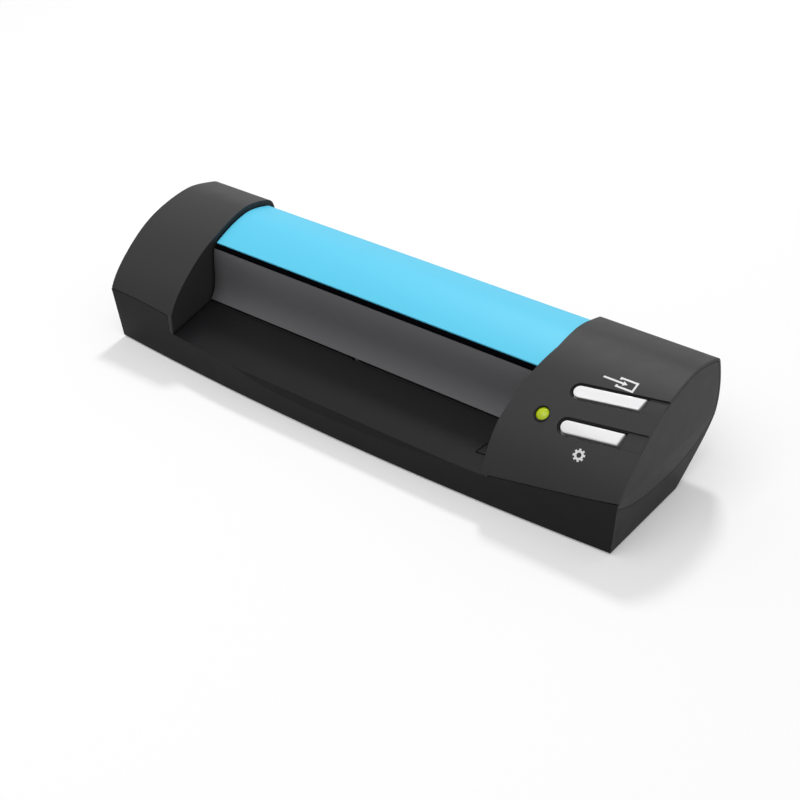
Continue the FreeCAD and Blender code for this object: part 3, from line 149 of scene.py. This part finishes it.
@dataclass(frozen=True)
class Surface:
    """A hard finish with grain, wandering colour and gloss, eased edges lightened partly as wear and partly as a
    painted edge highlight, and painted shade darkening it in creases.

    Lengths are in metres. stretch draws the grain out along an axis, as on turned or ground metal.
    """

    name: str
    colour: Colour
    roughness: float
    metallic: float = 0.0
    drift: float = 0.02
    drift_size: float = 0.030
    spread: float = 0.02
    grain: float = 0.00030
    depth: float = 0.000008
    stretch: Colour = (1.0, 1.0, 1.0)
    edge: float = 0.00018
    # How much lighter an edge is painted: partly wear, partly a painted edge highlight.
    wear: float = 0.10
    coat: float = 0.0
    specular: float = 0.5
    # How deep the painted shade in creases, gaps and at the foot of walls goes, and how far it reaches.
    crease: float = 0.85
    crease_reach: float = 0.0011

    def shader(self, graph: Graph) -> bpy.types.Node:
        """Make the principled shader of this finish.

        Args:
            graph: The material's tree.

        Returns:
            The shader node, for a finish that adds to it.
        """
        place = graph.place(self.stretch)
        wide = graph.place()
        eased = graph.add("Bevel", {"Radius": self.edge}, samples=4)
        grain = graph.noise(place, self.grain, 3.0)
        bump = graph.add("Bump", {"Height": grain, "Strength": 1.0, "Distance": self.depth,
                                  "Normal": eased.outputs["Normal"]})
        flat = graph.add("NewGeometry")
        facing = graph.add("VectorMath", {0: eased.outputs["Normal"], 1: flat.outputs["Normal"]},
                           operation="DOT_PRODUCT")
        # Edges, where the eased normal turns from the flat one, are lightened in patches towards a paler colour:
        # partly wear, partly a painted edge highlight.
        edge_share = graph.remap(facing.outputs["Value"], 1.0, 0.0, 0.80, 0.985)
        patchy = graph.remap(graph.noise(wide, 0.003, 3.0), 0.3, 1.0)
        worn_and_highlit = graph.math("MULTIPLY", graph.math("MULTIPLY", edge_share, patchy), self.wear)
        shade = graph.remap(graph.noise(wide, self.drift_size, 4.0), 1.0 - self.drift, 1.0 + self.drift)
        tone = graph.add("VectorMath", {0: self.colour, "Scale": shade}, operation="SCALE")
        lighter = tuple(min(1.0, c * 1.6 + 0.05) for c in self.colour)
        # Painted shade: the colour is darkened where ambient occlusion finds nearby surfaces, in creases, gaps and
        # at the foot of walls.
        open_air = graph.add("AmbientOcclusion", {"Distance": self.crease_reach}, samples=6)
        painted_shade = graph.remap(open_air.outputs["AO"], 1.0 - self.crease, 1.0, 0.25, 0.85)
        shaded_tone = graph.add("VectorMath", {0: tone.outputs["Vector"], "Scale": painted_shade}, operation="SCALE")
        colour = graph.blend(worn_and_highlit, shaded_tone.outputs["Vector"], rgba(lighter))
        gloss = graph.remap(graph.noise(wide, 0.0045, 3.0), self.roughness - self.spread,
                            self.roughness + self.spread)
        shader = graph.add("BsdfPrincipled", {"Base Color": colour, "Roughness": gloss,
                                              "Metallic": self.metallic, "Normal": bump.outputs["Normal"],
                                              "Coat Weight": self.coat, "Coat Roughness": 0.06,
                                              "Specular IOR Level": self.specular})
        return shader

    def build(self) -> bpy.types.Material:
        """Make the material.

        Returns:
            The new material.
        """
        graph = Graph(self.name)
        shader = self.shader(graph)
        graph.links.new(shader.outputs["BSDF"], graph.output.inputs["Surface"])
        return graph.material


@dataclass(frozen=True)
class LampLens(Surface):
    """A tinted clear lens that glows a little from the light behind it."""

    glow: Colour = (0.50, 0.62, 0.002)
    strength: float = 0.30

    def build(self) -> bpy.types.Material:
        """Make the lens material.

        Returns:
            The new material.
        """
        graph = Graph(self.name)
        shader = self.shader(graph)
        shader.inputs["Emission Color"].default_value = rgba(self.glow)
        shader.inputs["Emission Strength"].default_value = self.strength
        shader.inputs["Subsurface Weight"].default_value = 0.3
        shader.inputs["Subsurface Radius"].default_value = (0.001, 0.0012, 0.0004)
        shader.inputs["Subsurface Scale"].default_value = 1.0
        graph.links.new(shader.outputs["BSDF"], graph.output.inputs["Surface"])
        return graph.material


@dataclass(frozen=True)
class ClearPane(Surface):
    """Clear glass with faint smears."""

    def build(self) -> bpy.types.Material:
        """Make the glass material.

        Returns:
            The new material.
        """
        graph = Graph(self.name)
        shader = self.shader(graph)
        shader.inputs["Transmission Weight"].default_value = 0.9
        shader.inputs["IOR"].default_value = 1.5
        graph.links.new(shader.outputs["BSDF"], graph.output.inputs["Surface"])
        return graph.material


@dataclass(frozen=True)
class BoardMask(Surface):
    """Solder mask over copper tracks: thin lighter lines on two grids that bend at cells."""

    def build(self) -> bpy.types.Material:
        """Make the board material.

        Returns:
            The new material.
        """
        graph = Graph(self.name)
        shader = self.shader(graph)
        cells = graph.add("TexBrick", {"Vector": graph.place(), "Scale": 320.0, "Mortar Size": 0.06,
                                       "Color1": (0.0, 0.0, 0.0, 1.0), "Color2": (0.0, 0.0, 0.0, 1.0),
                                       "Mortar": (1.0, 1.0, 1.0, 1.0)})
        base = shader.inputs["Base Color"].links[0].from_socket
        tracks = graph.blend(graph.math("MULTIPLY", cells.outputs["Color"], 0.6), base,
                             rgba((0.06, 0.30, 0.13)))
        graph.links.new(tracks, shader.inputs["Base Color"])
        graph.links.new(shader.outputs["BSDF"], graph.output.inputs["Surface"])
        return graph.material


class Slot(Enum):
    """The record's material slots, each with its finish."""

    case_black = Surface("case_black", (0.008, 0.008, 0.009), 0.50, specular=0.13, wear=0.05)
    housing_grey = Surface("housing_grey", (0.047, 0.047, 0.048), 0.46, specular=0.10, wear=0.06,
                           crease_reach=0.0020)
    # Its long painted-shade reach darkens its colour towards the foot of the skirt and by the housings' walls, as
    # painted shade.
    cover_grey = Surface("cover_grey", (0.125, 0.124, 0.130), 0.42, specular=0.22, wear=0.02, crease=0.70,
                         crease_reach=0.0070)
    panel_blue = Surface("panel_blue", (0.118, 0.645, 0.910), 0.46, spread=0.01, drift=0.01, depth=0.000001,
                         wear=0.10, crease=0.50, crease_reach=0.0016, specular=0.22)
    key_white = Surface("key_white", (0.94, 0.94, 0.95), 0.22, spread=0.02, drift=0.008, depth=0.000001,
                        wear=0.0, crease=0.45, coat=0.25)
    lamp_lime = LampLens("lamp_lime", (0.34, 0.44, 0.004), 0.14, spread=0.02, depth=0.000001, wear=0.0,
                         crease=0.3, specular=0.4)
    inner_black = Surface("inner_black", (0.016, 0.016, 0.017), 0.55)
    flag_plastic = Surface("flag_plastic", (0.022, 0.022, 0.023), 0.50)
    strip_white = Surface("strip_white", (0.80, 0.80, 0.78), 0.55, wear=0.0)
    steel = Surface("steel", (0.56, 0.57, 0.58), 0.30, metallic=1.0, stretch=(0.12, 1.0, 1.0), depth=0.000003)
    roller_rubber = Surface("roller_rubber", (0.030, 0.030, 0.030), 0.78, grain=0.00018, depth=0.000020, wear=0.15)
    pinch_plastic = Surface("pinch_plastic", (0.30, 0.30, 0.31), 0.45)
    bush_bronze = Surface("bush_bronze", (0.45, 0.29, 0.14), 0.46, metallic=1.0, grain=0.00012, depth=0.000010)
    gear_acetal = Surface("gear_acetal", (0.78, 0.77, 0.72), 0.38, wear=0.0, depth=0.000002)
    pinion_brass = Surface("pinion_brass", (0.72, 0.52, 0.20), 0.28, metallic=1.0, depth=0.000003)
    glass = ClearPane("glass", (0.90, 0.96, 0.94), 0.05, spread=0.03, depth=0.0000005, wear=0.0)
    foam = Surface("foam", (0.070, 0.070, 0.070), 0.92, grain=0.00060, depth=0.000120, drift=0.3,
                   drift_size=0.0008, wear=0.0)
    cable_film = Surface("cable_film", (0.72, 0.72, 0.70), 0.35, stretch=(1.0, 0.05, 0.05), grain=0.0004,
                         depth=0.000010, wear=0.0)
    board_green = BoardMask("board_green", (0.014, 0.12, 0.055), 0.30, depth=0.000004)
    chip_black = Surface("chip_black", (0.022, 0.022, 0.022), 0.52, grain=0.00010)


class CarriedNodes:
    """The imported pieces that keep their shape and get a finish."""

    def __init__(self, record: dict[str, Any], nodes: dict[str, bpy.types.Object]) -> None:
        """Keep the record and its nodes.

        Args:
            record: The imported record.
            nodes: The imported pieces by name.
        """
        self.slots = {part["node"]: part["material_slot"] for part in record["subparts"]}
        self.nodes = nodes
        self.made: dict[str, bpy.types.Material] = {}

    def material(self, slot: str) -> bpy.types.Material:
        """The material of a slot, made on its first use.

        Args:
            slot: The slot's name.

        Returns:
            The material.
        """
        if slot not in self.made:
            self.made[slot] = Slot[slot].value.build()
        return self.made[slot]

    def dress(self) -> None:
        """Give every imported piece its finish."""
        for name, piece in sorted(self.nodes.items()):
            finish = self.material(self.slots[name])
            piece.data.materials.clear()
            piece.data.materials.append(finish)
            LOG.info("dressed %s in %s", name, finish.name)


def new_piece(name: str, shape: bmesh.types.BMesh, finish: bpy.types.Material, body: str) -> bpy.types.Object:
    """Turn a finished shape into a piece of the scanner.

    Args:
        name: The piece's name.
        shape: Its shape, in metres; it is freed.
        finish: Its material.
        body: The body that it moves with.

    Returns:
        The new piece.
    """
    mesh = bpy.data.meshes.new(name)
    shape.to_mesh(mesh)
    shape.free()
    mesh.materials.append(finish)
    piece = bpy.data.objects.new(name, mesh)
    bpy.context.scene.collection.objects.link(piece)
    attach(piece, body)
    LOG.info("made %s with %d faces", name, len(mesh.polygons))
    return piece


@dataclass(frozen=True)
class KeyField:
    """The sloping frame of the keys: x along the scanner, y up the slope, z out of the surface."""

    origin: Colour = (0.0720, -0.01095, 0.0297)
    slope: float = 36.5

    @property
    def matrix(self) -> Matrix:
        """The frame as a matrix."""
        return Matrix.Translation(self.origin) @ Matrix.Rotation(math.radians(self.slope), 4, "X")

    @property
    def out(self) -> Vector:
        """The direction out of the surface."""
        return self.matrix.to_3x3() @ Vector((0.0, 0.0, 1.0))


@dataclass
class RoundedKeys:
    """The two white keys with a rounded rim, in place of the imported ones."""

    radius: float = 0.00038
    steps: int = 4
    sharp: float = 40.0
    rim_depth: float = 0.0012
    bodies: dict[str, str] = field(default_factory=lambda: {"scan_key": "scan_button",
                                                            "custom_key": "custom_button"})

    def rim(self, shape: bmesh.types.BMesh, frame_of_keys: KeyField) -> list[bmesh.types.BMEdge]:
        """The sharp edges round the outer face of a cap.

        Args:
            shape: The key's merged shape.
            frame_of_keys: Where the keys lie.

        Returns:
            The edges.
        """
        inward = frame_of_keys.matrix.inverted()
        found = []
        for edge in shape.edges:
            middle = inward @ ((edge.verts[0].co + edge.verts[1].co) / 2.0)
            if middle.z > -self.rim_depth and len(edge.link_faces) == 2:
                if edge.calc_face_angle(0.0) > math.radians(self.sharp):
                    found.append(edge)
        return found

    def build(self, nodes: dict[str, bpy.types.Object], finish: bpy.types.Material) -> None:
        """Make both keys.

        Args:
            nodes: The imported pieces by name.
            finish: The white finish.
        """
        for node, body in self.bodies.items():
            shape = bmesh.new()
            shape.from_mesh(nodes[node].data)
            bmesh.ops.remove_doubles(shape, verts=shape.verts, dist=1e-7)
            bmesh.ops.dissolve_limit(shape, angle_limit=math.radians(0.3), verts=shape.verts, edges=shape.edges)
            bmesh.ops.bevel(shape, geom=self.rim(shape, KeyField()), offset=self.radius, offset_type="OFFSET",
                            segments=self.steps, profile=0.5, affect="EDGES", material=-1, clamp_overlap=True)
            for face in shape.faces:
                face.smooth = True
            piece = new_piece(node + "_cap", shape, finish, body)
            piece.data.set_sharp_from_angle(angle=math.radians(self.sharp))
            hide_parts(node)


@dataclass
class LampBezel:
    """The thin dark ring round the status lamp."""

    place: tuple[float, float] = (-0.0131, -0.0051)
    inner: float = 0.00176
    outer: float = 0.00245
    proud: float = 0.00026
    sunk: float = 0.0012
    steps: int = 48

    def build(self, finish: bpy.types.Material) -> None:
        """Make the ring.

        Args:
            finish: The ring's finish.
        """
        shape = bmesh.new()
        profile = [(self.inner, -self.sunk), (self.inner, self.proud * 0.6), (self.inner * 0.5 + self.outer * 0.5,
                   self.proud), (self.outer, self.proud * 0.2), (self.outer, -self.sunk)]
        verts = [shape.verts.new((r, 0.0, z)) for r, z in profile]
        edges = [shape.edges.new((verts[i], verts[(i + 1) % len(verts)])) for i in range(len(verts))]
        bmesh.ops.spin(shape, geom=verts + edges, cent=(0, 0, 0), axis=(0, 0, 1), angle=math.tau,
                       steps=self.steps, use_merge=True, use_duplicate=False)
        bmesh.ops.remove_doubles(shape, verts=shape.verts, dist=1e-7)
        bmesh.ops.recalc_face_normals(shape, faces=shape.faces)
        move = KeyField().matrix @ Matrix.Translation((*self.place, 0.0))
        bmesh.ops.transform(shape, matrix=move, verts=shape.verts)
        new_piece("lamp_bezel", shape, finish, "base")


class Mark(Enum):
    """The two plain pictograms beside the keys, with their middles in the keys' frame."""

    card = (0.0002, 0.0098)
    cog = (0.0004, -0.0112)


@dataclass
class Legends:
    """Plain printed pictograms: a card with an arrow, and a cog, both laid on the curved surface."""

    height: float = 0.0032
    line: float = 0.00054
    ink: float = 0.00004
    sunk: float = 0.00003
    cell: float = 0.0004
    cog_teeth: int = 8

    def bar(self, shape: bmesh.types.BMesh, low: tuple[float, float], high: tuple[float, float]) -> None:
        """Add a flat bar between two corners."""
        size = Vector((high[0] - low[0], high[1] - low[1]))
        middle = Vector((high[0] + low[0], high[1] + low[1])) / 2.0
        move = Matrix.Translation((*middle, 0.0)) @ Matrix.Diagonal((size.x, size.y, 1.0, 1.0))
        bmesh.ops.create_grid(shape, x_segments=max(1, round(size.x / self.cell)),
                              y_segments=max(1, round(size.y / self.cell)), size=0.5, matrix=move)

    def card(self) -> bmesh.types.BMesh:
        """A card's outline with an arrow that points into it.

        Returns:
            The flat shape about its own middle.
        """
        shape = bmesh.new()
        half, t = self.height / 2.0, self.line
        left, right = -self.height * 0.15, self.height * 1.40
        self.bar(shape, (left, half - t), (right, half))
        self.bar(shape, (left, -half), (right, -half + t))
        self.bar(shape, (right - t, -half + t), (right, half - t))
        self.bar(shape, (left, half * 0.52), (left + t, half - t))
        self.bar(shape, (left, -half + t), (left + t, -half * 0.52))
        self.bar(shape, (-self.height * 1.40, -t / 2), (self.height * 0.30, t / 2))
        tip = bmesh.ops.create_circle(shape, cap_ends=True, segments=3, radius=half * 0.52)
        turn = Matrix.Translation((self.height * 0.42, 0.0, 0.0)) @ Matrix.Rotation(math.radians(-90.0), 4, "Z")
        bmesh.ops.transform(shape, matrix=turn, verts=tip["verts"])
        return shape

    def cog(self) -> bmesh.types.BMesh:
        """A cog wheel with a round hole.

        Returns:
            The flat shape about its own middle.
        """
        shape = bmesh.new()
        count = self.cog_teeth * 4
        rings = []
        for radius in (self.height * 0.20, self.height * 0.38):
            made = bmesh.ops.create_circle(shape, cap_ends=False, segments=count, radius=radius)
            rings.append(made["verts"])
        edges = [edge for edge in shape.edges]
        bmesh.ops.bridge_loops(shape, edges=edges)
        teeth = []
        outer = set(rings[1])
        rim = [edge for edge in shape.edges if edge.verts[0] in outer and edge.verts[1] in outer]
        rim.sort(key=lambda edge: math.atan2(*((edge.verts[0].co + edge.verts[1].co).yx)))
        for i, edge in enumerate(rim):
            if i % 4 in (0, 1):
                teeth.append(edge)
        grown = bmesh.ops.extrude_edge_only(shape, edges=teeth)
        for vert in [item for item in grown["geom"] if isinstance(item, bmesh.types.BMVert)]:
            vert.co *= 0.5 * self.height / vert.co.length
        return shape

    def lay(self, shape: bmesh.types.BMesh, middle: tuple[float, float], tree: BVHTree) -> None:
        """Set a flat shape on the surface below it and give it the thickness of ink.

        Args:
            shape: The flat shape about its own middle.
            middle: Where its middle lies in the keys' frame.
            tree: The housing's surface.
        """
        field_of_keys = KeyField()
        bmesh.ops.remove_doubles(shape, verts=shape.verts, dist=1e-7)
        move = field_of_keys.matrix @ Matrix.Translation((*middle, 0.003))
        bmesh.ops.transform(shape, matrix=move, verts=shape.verts)
        down = -field_of_keys.out
        for vert in shape.verts:
            hit = tree.ray_cast(vert.co, down)[0]
            vert.co = hit + field_of_keys.out * self.ink
        for item in shape.faces:
            if item.normal.dot(field_of_keys.out) < 0.0:
                item.normal_flip()
        flat = list(shape.faces)
        grown = bmesh.ops.extrude_face_region(shape, geom=flat, use_keep_orig=True)
        lower = [item for item in grown["geom"] if isinstance(item, bmesh.types.BMVert)]
        bmesh.ops.translate(shape, vec=down * (self.ink + self.sunk), verts=lower)
        bmesh.ops.recalc_face_normals(shape, faces=shape.faces)

    def build(self, housing: bpy.types.Object, finish: bpy.types.Material) -> None:
        """Make both pictograms.

        Args:
            housing: The right housing, which they are printed on.
            finish: The white ink.
        """
        surface = bmesh.new()
        surface.from_mesh(housing.data)
        tree = BVHTree.FromBMesh(surface)
        for mark in Mark:
            shape = self.card() if mark is Mark.card else self.cog()
            self.lay(shape, mark.value, tree)
            new_piece("legend_" + mark.name, shape, finish, "base")
        surface.free()


@dataclass
class PaintedShadowStrip:
    """A thin black strip in front of the blue panel, folded over the top of the skirt, that paints the shadow gap
    under the panel's front edge.
    """

    ends: tuple[float, float] = (-0.06030, 0.05080)
    ridge: tuple[float, float] = (-0.00510, -0.00460)
    front: float = -0.00522
    rear: float = -0.00418
    drop: float = 0.00050
    proud: float = 0.00010
    thick: float = 0.00030
    round_edge: float = 0.00006
    probe: float = 0.010
    above: float = 0.060
    before: float = -0.060

    def outline(self, tree: BVHTree) -> list[tuple[float, float]]:
        """Read the cover's ridge and skirt, and lay the strip's outline over them.

        Args:
            tree: The cover shell's surface.

        Returns:
            The outline as places along the depth and heights.
        """
        down, back = Vector((0.0, 0.0, -1.0)), Vector((0.0, 1.0, 0.0))
        low, high = (tree.ray_cast(Vector((self.probe, y, self.above)), down)[0].z for y in self.ridge)
        rise = (high - low) / (self.ridge[1] - self.ridge[0])
        front_top = low + rise * (self.front - self.ridge[0])
        rear_top = low + rise * (self.rear - self.ridge[0])
        foot = front_top - self.drop
        skirt = tree.ray_cast(Vector((self.probe, self.before, foot)), back)[0].y
        return [(self.rear, rear_top + self.proud), (self.front, front_top + self.proud),
                (skirt - self.proud, foot), (skirt + self.thick, foot), (self.rear, rear_top - self.thick)]

    def build(self, cover: bpy.types.Object, finish: bpy.types.Material) -> None:
        """Make the painted-shadow strip on the cover's ridge.

        Args:
            cover: The cover shell, which it lies on.
            finish: Its black finish, which paints the shadow.
        """
        surface = bmesh.new()
        surface.from_mesh(cover.data)
        outline = self.outline(BVHTree.FromBMesh(surface))
        surface.free()
        shape = bmesh.new()
        face = shape.faces.new([shape.verts.new((self.ends[0], y, z)) for y, z in outline])
        grown = bmesh.ops.extrude_face_region(shape, geom=[face], use_keep_orig=True)
        far = [item for item in grown["geom"] if isinstance(item, bmesh.types.BMVert)]
        bmesh.ops.translate(shape, vec=(self.ends[1] - self.ends[0], 0.0, 0.0), verts=far)
        bmesh.ops.recalc_face_normals(shape, faces=shape.faces)
        long_edges = [e for e in shape.edges if abs(e.verts[0].co.x - e.verts[1].co.x) > self.probe]
        bmesh.ops.bevel(shape, geom=long_edges, offset=self.round_edge, offset_type="OFFSET", segments=2,
                        profile=0.5, affect="EDGES", material=-1)
        new_piece("painted_shadow_strip", shape, finish, "cover")


@dataclass
class EdgeMark:
    """The small raised triangle on the feed ledge that shows where a card's edge goes."""

    corners: tuple[tuple[float, float], ...] = ((0.0431, -0.0200), (0.0464, -0.0195), (0.0440, -0.0160))
    rim: float = 0.00045
    proud: float = 0.00022
    sunk: float = 0.00030

    def build(self, case: bpy.types.Object, finish: bpy.types.Material) -> None:
        """Make the triangle on the ledge.

        Args:
            case: The lower case, which it stands on.
            finish: Its finish.
        """
        surface = bmesh.new()
        surface.from_mesh(case.data)
        tree = BVHTree.FromBMesh(surface)
        shape = bmesh.new()
        face = shape.faces.new([shape.verts.new((x, y, 0.05)) for x, y in self.corners])
        inset = bmesh.ops.inset_individual(shape, faces=[face], thickness=self.rim)
        bmesh.ops.delete(shape, geom=[face], context="FACES_ONLY")
        LOG.info("the mark's rim has %d faces", len(inset["faces"]))
        for vert in shape.verts:
            hit, normal = tree.ray_cast(vert.co, Vector((0.0, 0.0, -1.0)))[:2]
            vert.co = hit + normal * self.proud
        flat = list(shape.faces)
        grown = bmesh.ops.extrude_face_region(shape, geom=flat, use_keep_orig=True)
        lower = [item for item in grown["geom"] if isinstance(item, bmesh.types.BMVert)]
        bmesh.ops.translate(shape, vec=(0.0, 0.0, -self.proud - self.sunk), verts=lower)
        bmesh.ops.recalc_face_normals(shape, faces=shape.faces)
        surface.free()
        new_piece("edge_mark", shape, finish, "base")


@dataclass
class ScrewSlotShade:
    """Dark crosses laid on the heads of the case screws, seen from below: painted shade in place of their cross
    slots.
    """

    places: tuple[tuple[float, float], ...] = ((-0.0790, -0.00845), (-0.0790, -0.01595), (0.0635, 0.00855),
                                               (0.0800, 0.00655))
    reach: float = 0.0012
    width: float = 0.00042
    depth: float = 0.00030
    proud: float = 0.00001

    def build(self, finish: bpy.types.Material) -> None:
        """Make the crosses.

        Args:
            finish: The dark finish that paints the slots' shade.
        """
        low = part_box("case_screws")[0][2]
        shape = bmesh.new()
        for x, y in self.places:
            tips = []
            for half_x, half_y in ((self.reach, self.width / 2), (self.width / 2, self.reach)):
                size = Matrix.Diagonal((2 * half_x, 2 * half_y, self.depth, 1.0))
                middle = Matrix.Translation((x, y, low + self.depth / 2 - self.proud))
                made = bmesh.ops.create_cube(shape, size=1.0, matrix=middle @ size)
                tips += made["verts"]
            edges = [e for e in shape.edges if e.verts[0] in tips and e.verts[1] in tips]
            upright = [e for e in edges if abs(e.verts[0].co.z - e.verts[1].co.z) > self.depth / 2]
            bmesh.ops.bevel(shape, geom=upright, offset=self.width * 0.3, offset_type="OFFSET", segments=2,
                            profile=0.5, affect="EDGES", material=-1)
        new_piece("case_screw_slot_shade", shape, finish, "base")


@dataclass
class Studio:
    """A pale floor, a soft lamp behind and to the left, a weaker one in front, and the camera."""

    eye: Colour = (0.20192, -0.25705, 0.21373)
    azimuth: float = 37.662
    elevation: float = 33.290
    lens: float = 62.17
    floor_size: float = 6.0
    sky_low: float = 0.12
    sky_high: float = 0.50
    key_power: float = 4.0
    key_place: Colour = (-0.30, 0.58, 0.88)
    key_size: float = 0.15
    front_power: float = 5.2
    front_place: Colour = (0.06, -0.48, 0.94)
    front_size: float = 0.9
    floor_bounce: float = 0.25
    floor_seen: float = 0.82
    floor_lift: float = 0.20

    def floor(self) -> bpy.types.Object:
        """A wide floor, white to the camera and pale grey to everything else.

        Returns:
            The floor.
        """
        graph = Graph("studio_floor")
        path = graph.add("LightPath")
        seen = self.seen(graph.nodes, graph.links, path)
        tone = graph.blend(seen, rgba((self.floor_bounce,) * 3), rgba((self.floor_seen,) * 3))
        cloth = graph.add("BsdfDiffuse", {"Color": tone})
        lift = graph.math("MULTIPLY", seen, self.floor_lift)
        glow = graph.add("Emission", {"Strength": lift})
        both = graph.add("AddShader", {0: cloth.outputs["BSDF"], 1: glow.outputs["Emission"]})
        graph.links.new(both.outputs["Shader"], graph.output.inputs["Surface"])
        shape = bmesh.new()
        bmesh.ops.create_grid(shape, x_segments=1, y_segments=1, size=self.floor_size / 2)
        mesh = bpy.data.meshes.new("floor")
        shape.to_mesh(mesh)
        shape.free()
        floor = bpy.data.objects.new("floor", mesh)
        bpy.context.scene.collection.objects.link(floor)
        mesh.materials.append(graph.material)
        return floor

    def seen(self, nodes: Any, links: Any, path: bpy.types.Node) -> bpy.types.NodeSocket:
        """One where a camera, mirrored or refracted ray looks, and zero elsewhere.

        Args:
            nodes: The tree's nodes.
            links: The tree's links.
            path: Its Light Path node.

        Returns:
            The value socket.
        """
        first, second = nodes.new("ShaderNodeMath"), nodes.new("ShaderNodeMath")
        first.operation = second.operation = "MAXIMUM"
        links.new(path.outputs["Is Camera Ray"], first.inputs[0])
        links.new(path.outputs["Is Transmission Ray"], first.inputs[1])
        links.new(first.outputs[0], second.inputs[0])
        links.new(path.outputs["Is Glossy Ray"], second.inputs[1])
        return second.outputs[0]

    def world(self) -> None:
        """A soft sky that is brighter overhead, and full white where it is seen or mirrored."""
        world = bpy.data.worlds.new("studio_world")
        bpy.context.scene.world = world
        world.use_nodes = True
        nodes, links = world.node_tree.nodes, world.node_tree.links
        nodes.clear()
        seen = self.seen(nodes, links, nodes.new("ShaderNodeLightPath"))
        sky = nodes.new("ShaderNodeTexCoord")
        height = nodes.new("ShaderNodeSeparateXYZ")
        links.new(sky.outputs["Generated"], height.inputs["Vector"])
        fill = nodes.new("ShaderNodeMapRange")
        links.new(height.outputs["Z"], fill.inputs["Value"])
        fill.inputs["To Min"].default_value = self.sky_low
        fill.inputs["To Max"].default_value = self.sky_high
        strength = nodes.new("ShaderNodeMix")
        links.new(seen, strength.inputs["Factor"])
        links.new(fill.outputs["Result"], strength.inputs[2])
        strength.inputs[3].default_value = 1.0
        surround = nodes.new("ShaderNodeBackground")
        surround.inputs["Color"].default_value = rgba((1.0, 1.0, 1.0))
        links.new(strength.outputs[0], surround.inputs["Strength"])
        output = nodes.new("ShaderNodeOutputWorld")
        links.new(surround.outputs["Background"], output.inputs["Surface"])

    def lamp(self, name: str, place: Colour, power: float, size: float) -> bpy.types.Object:
        """A square soft lamp that faces the object.

        Args:
            name: The lamp's name.
            place: Where it stands, in metres.
            power: Its power, in watts.
            size: Its side, in metres.

        Returns:
            The lamp.
        """
        data = bpy.data.lights.new(name, "AREA")
        data.energy = power
        data.size = size
        lamp = bpy.data.objects.new(name, data)
        bpy.context.scene.collection.objects.link(lamp)
        lamp.location = place
        lamp.rotation_mode = "QUATERNION"
        lamp.rotation_quaternion = (-Vector(place)).to_track_quat("-Z", "Y")
        return lamp

    def camera(self) -> bpy.types.Object:
        """The camera at the photograph's angle.

        Returns:
            The camera.
        """
        data = bpy.data.cameras.new("camera")
        data.sensor_width = 36.0
        data.lens = self.lens
        data.clip_start = 0.01
        data.clip_end = 20.0
        camera = bpy.data.objects.new("camera", data)
        bpy.context.scene.collection.objects.link(camera)
        turn, rise = math.radians(self.azimuth), math.radians(self.elevation)
        back = Vector((math.sin(turn) * math.cos(rise), -math.cos(turn) * math.cos(rise), math.sin(rise)))
        camera.location = self.eye
        camera.rotation_mode = "QUATERNION"
        camera.rotation_quaternion = (-back).to_track_quat("-Z", "Y")
        bpy.context.scene.camera = camera
        return camera

    def build(self) -> None:
        """Set up the floor, the surround, the lamps and the camera."""
        bpy.context.scene.view_settings.view_transform = "Standard"
        self.floor()
        self.world()
        self.lamp("key_lamp", self.key_place, self.key_power, self.key_size)
        self.lamp("front_lamp", self.front_place, self.front_power, self.front_size)
        self.camera()
        LOG.info("studio ready")


def main() -> None:
    """Dress the scanner and set up the studio."""
    logging.basicConfig(level=logging.INFO, format="%(name)s: %(message)s")
    Studio().build()
    nodes = frame["nodes"]
    carried = CarriedNodes(frame["record"], nodes)
    carried.dress()
    RoundedKeys().build(nodes, carried.material("key_white"))
    LampBezel().build(carried.material("case_black"))
    ink = Surface("legend_ink", (0.80, 0.80, 0.80), 0.55, wear=0.0, crease=0.0, edge=0.00001).build()
    Legends().build(nodes["right_housing"], ink)
    # A matt black with no gloss, which paints the shadow under the blue panel's front edge.
    shadow_black_finish = Surface("painted_shadow_black", (0.002, 0.002, 0.003), 0.80, wear=0.0, specular=0.0).build()
    PaintedShadowStrip().build(nodes["cover_shell"], shadow_black_finish)
    EdgeMark().build(nodes["lower_case"], carried.material("housing_grey"))
    # Painted shade of the screws' cross slots.
    ScrewSlotShade().build(carried.material("inner_black"))


if __name__ == "__main__":
    main()
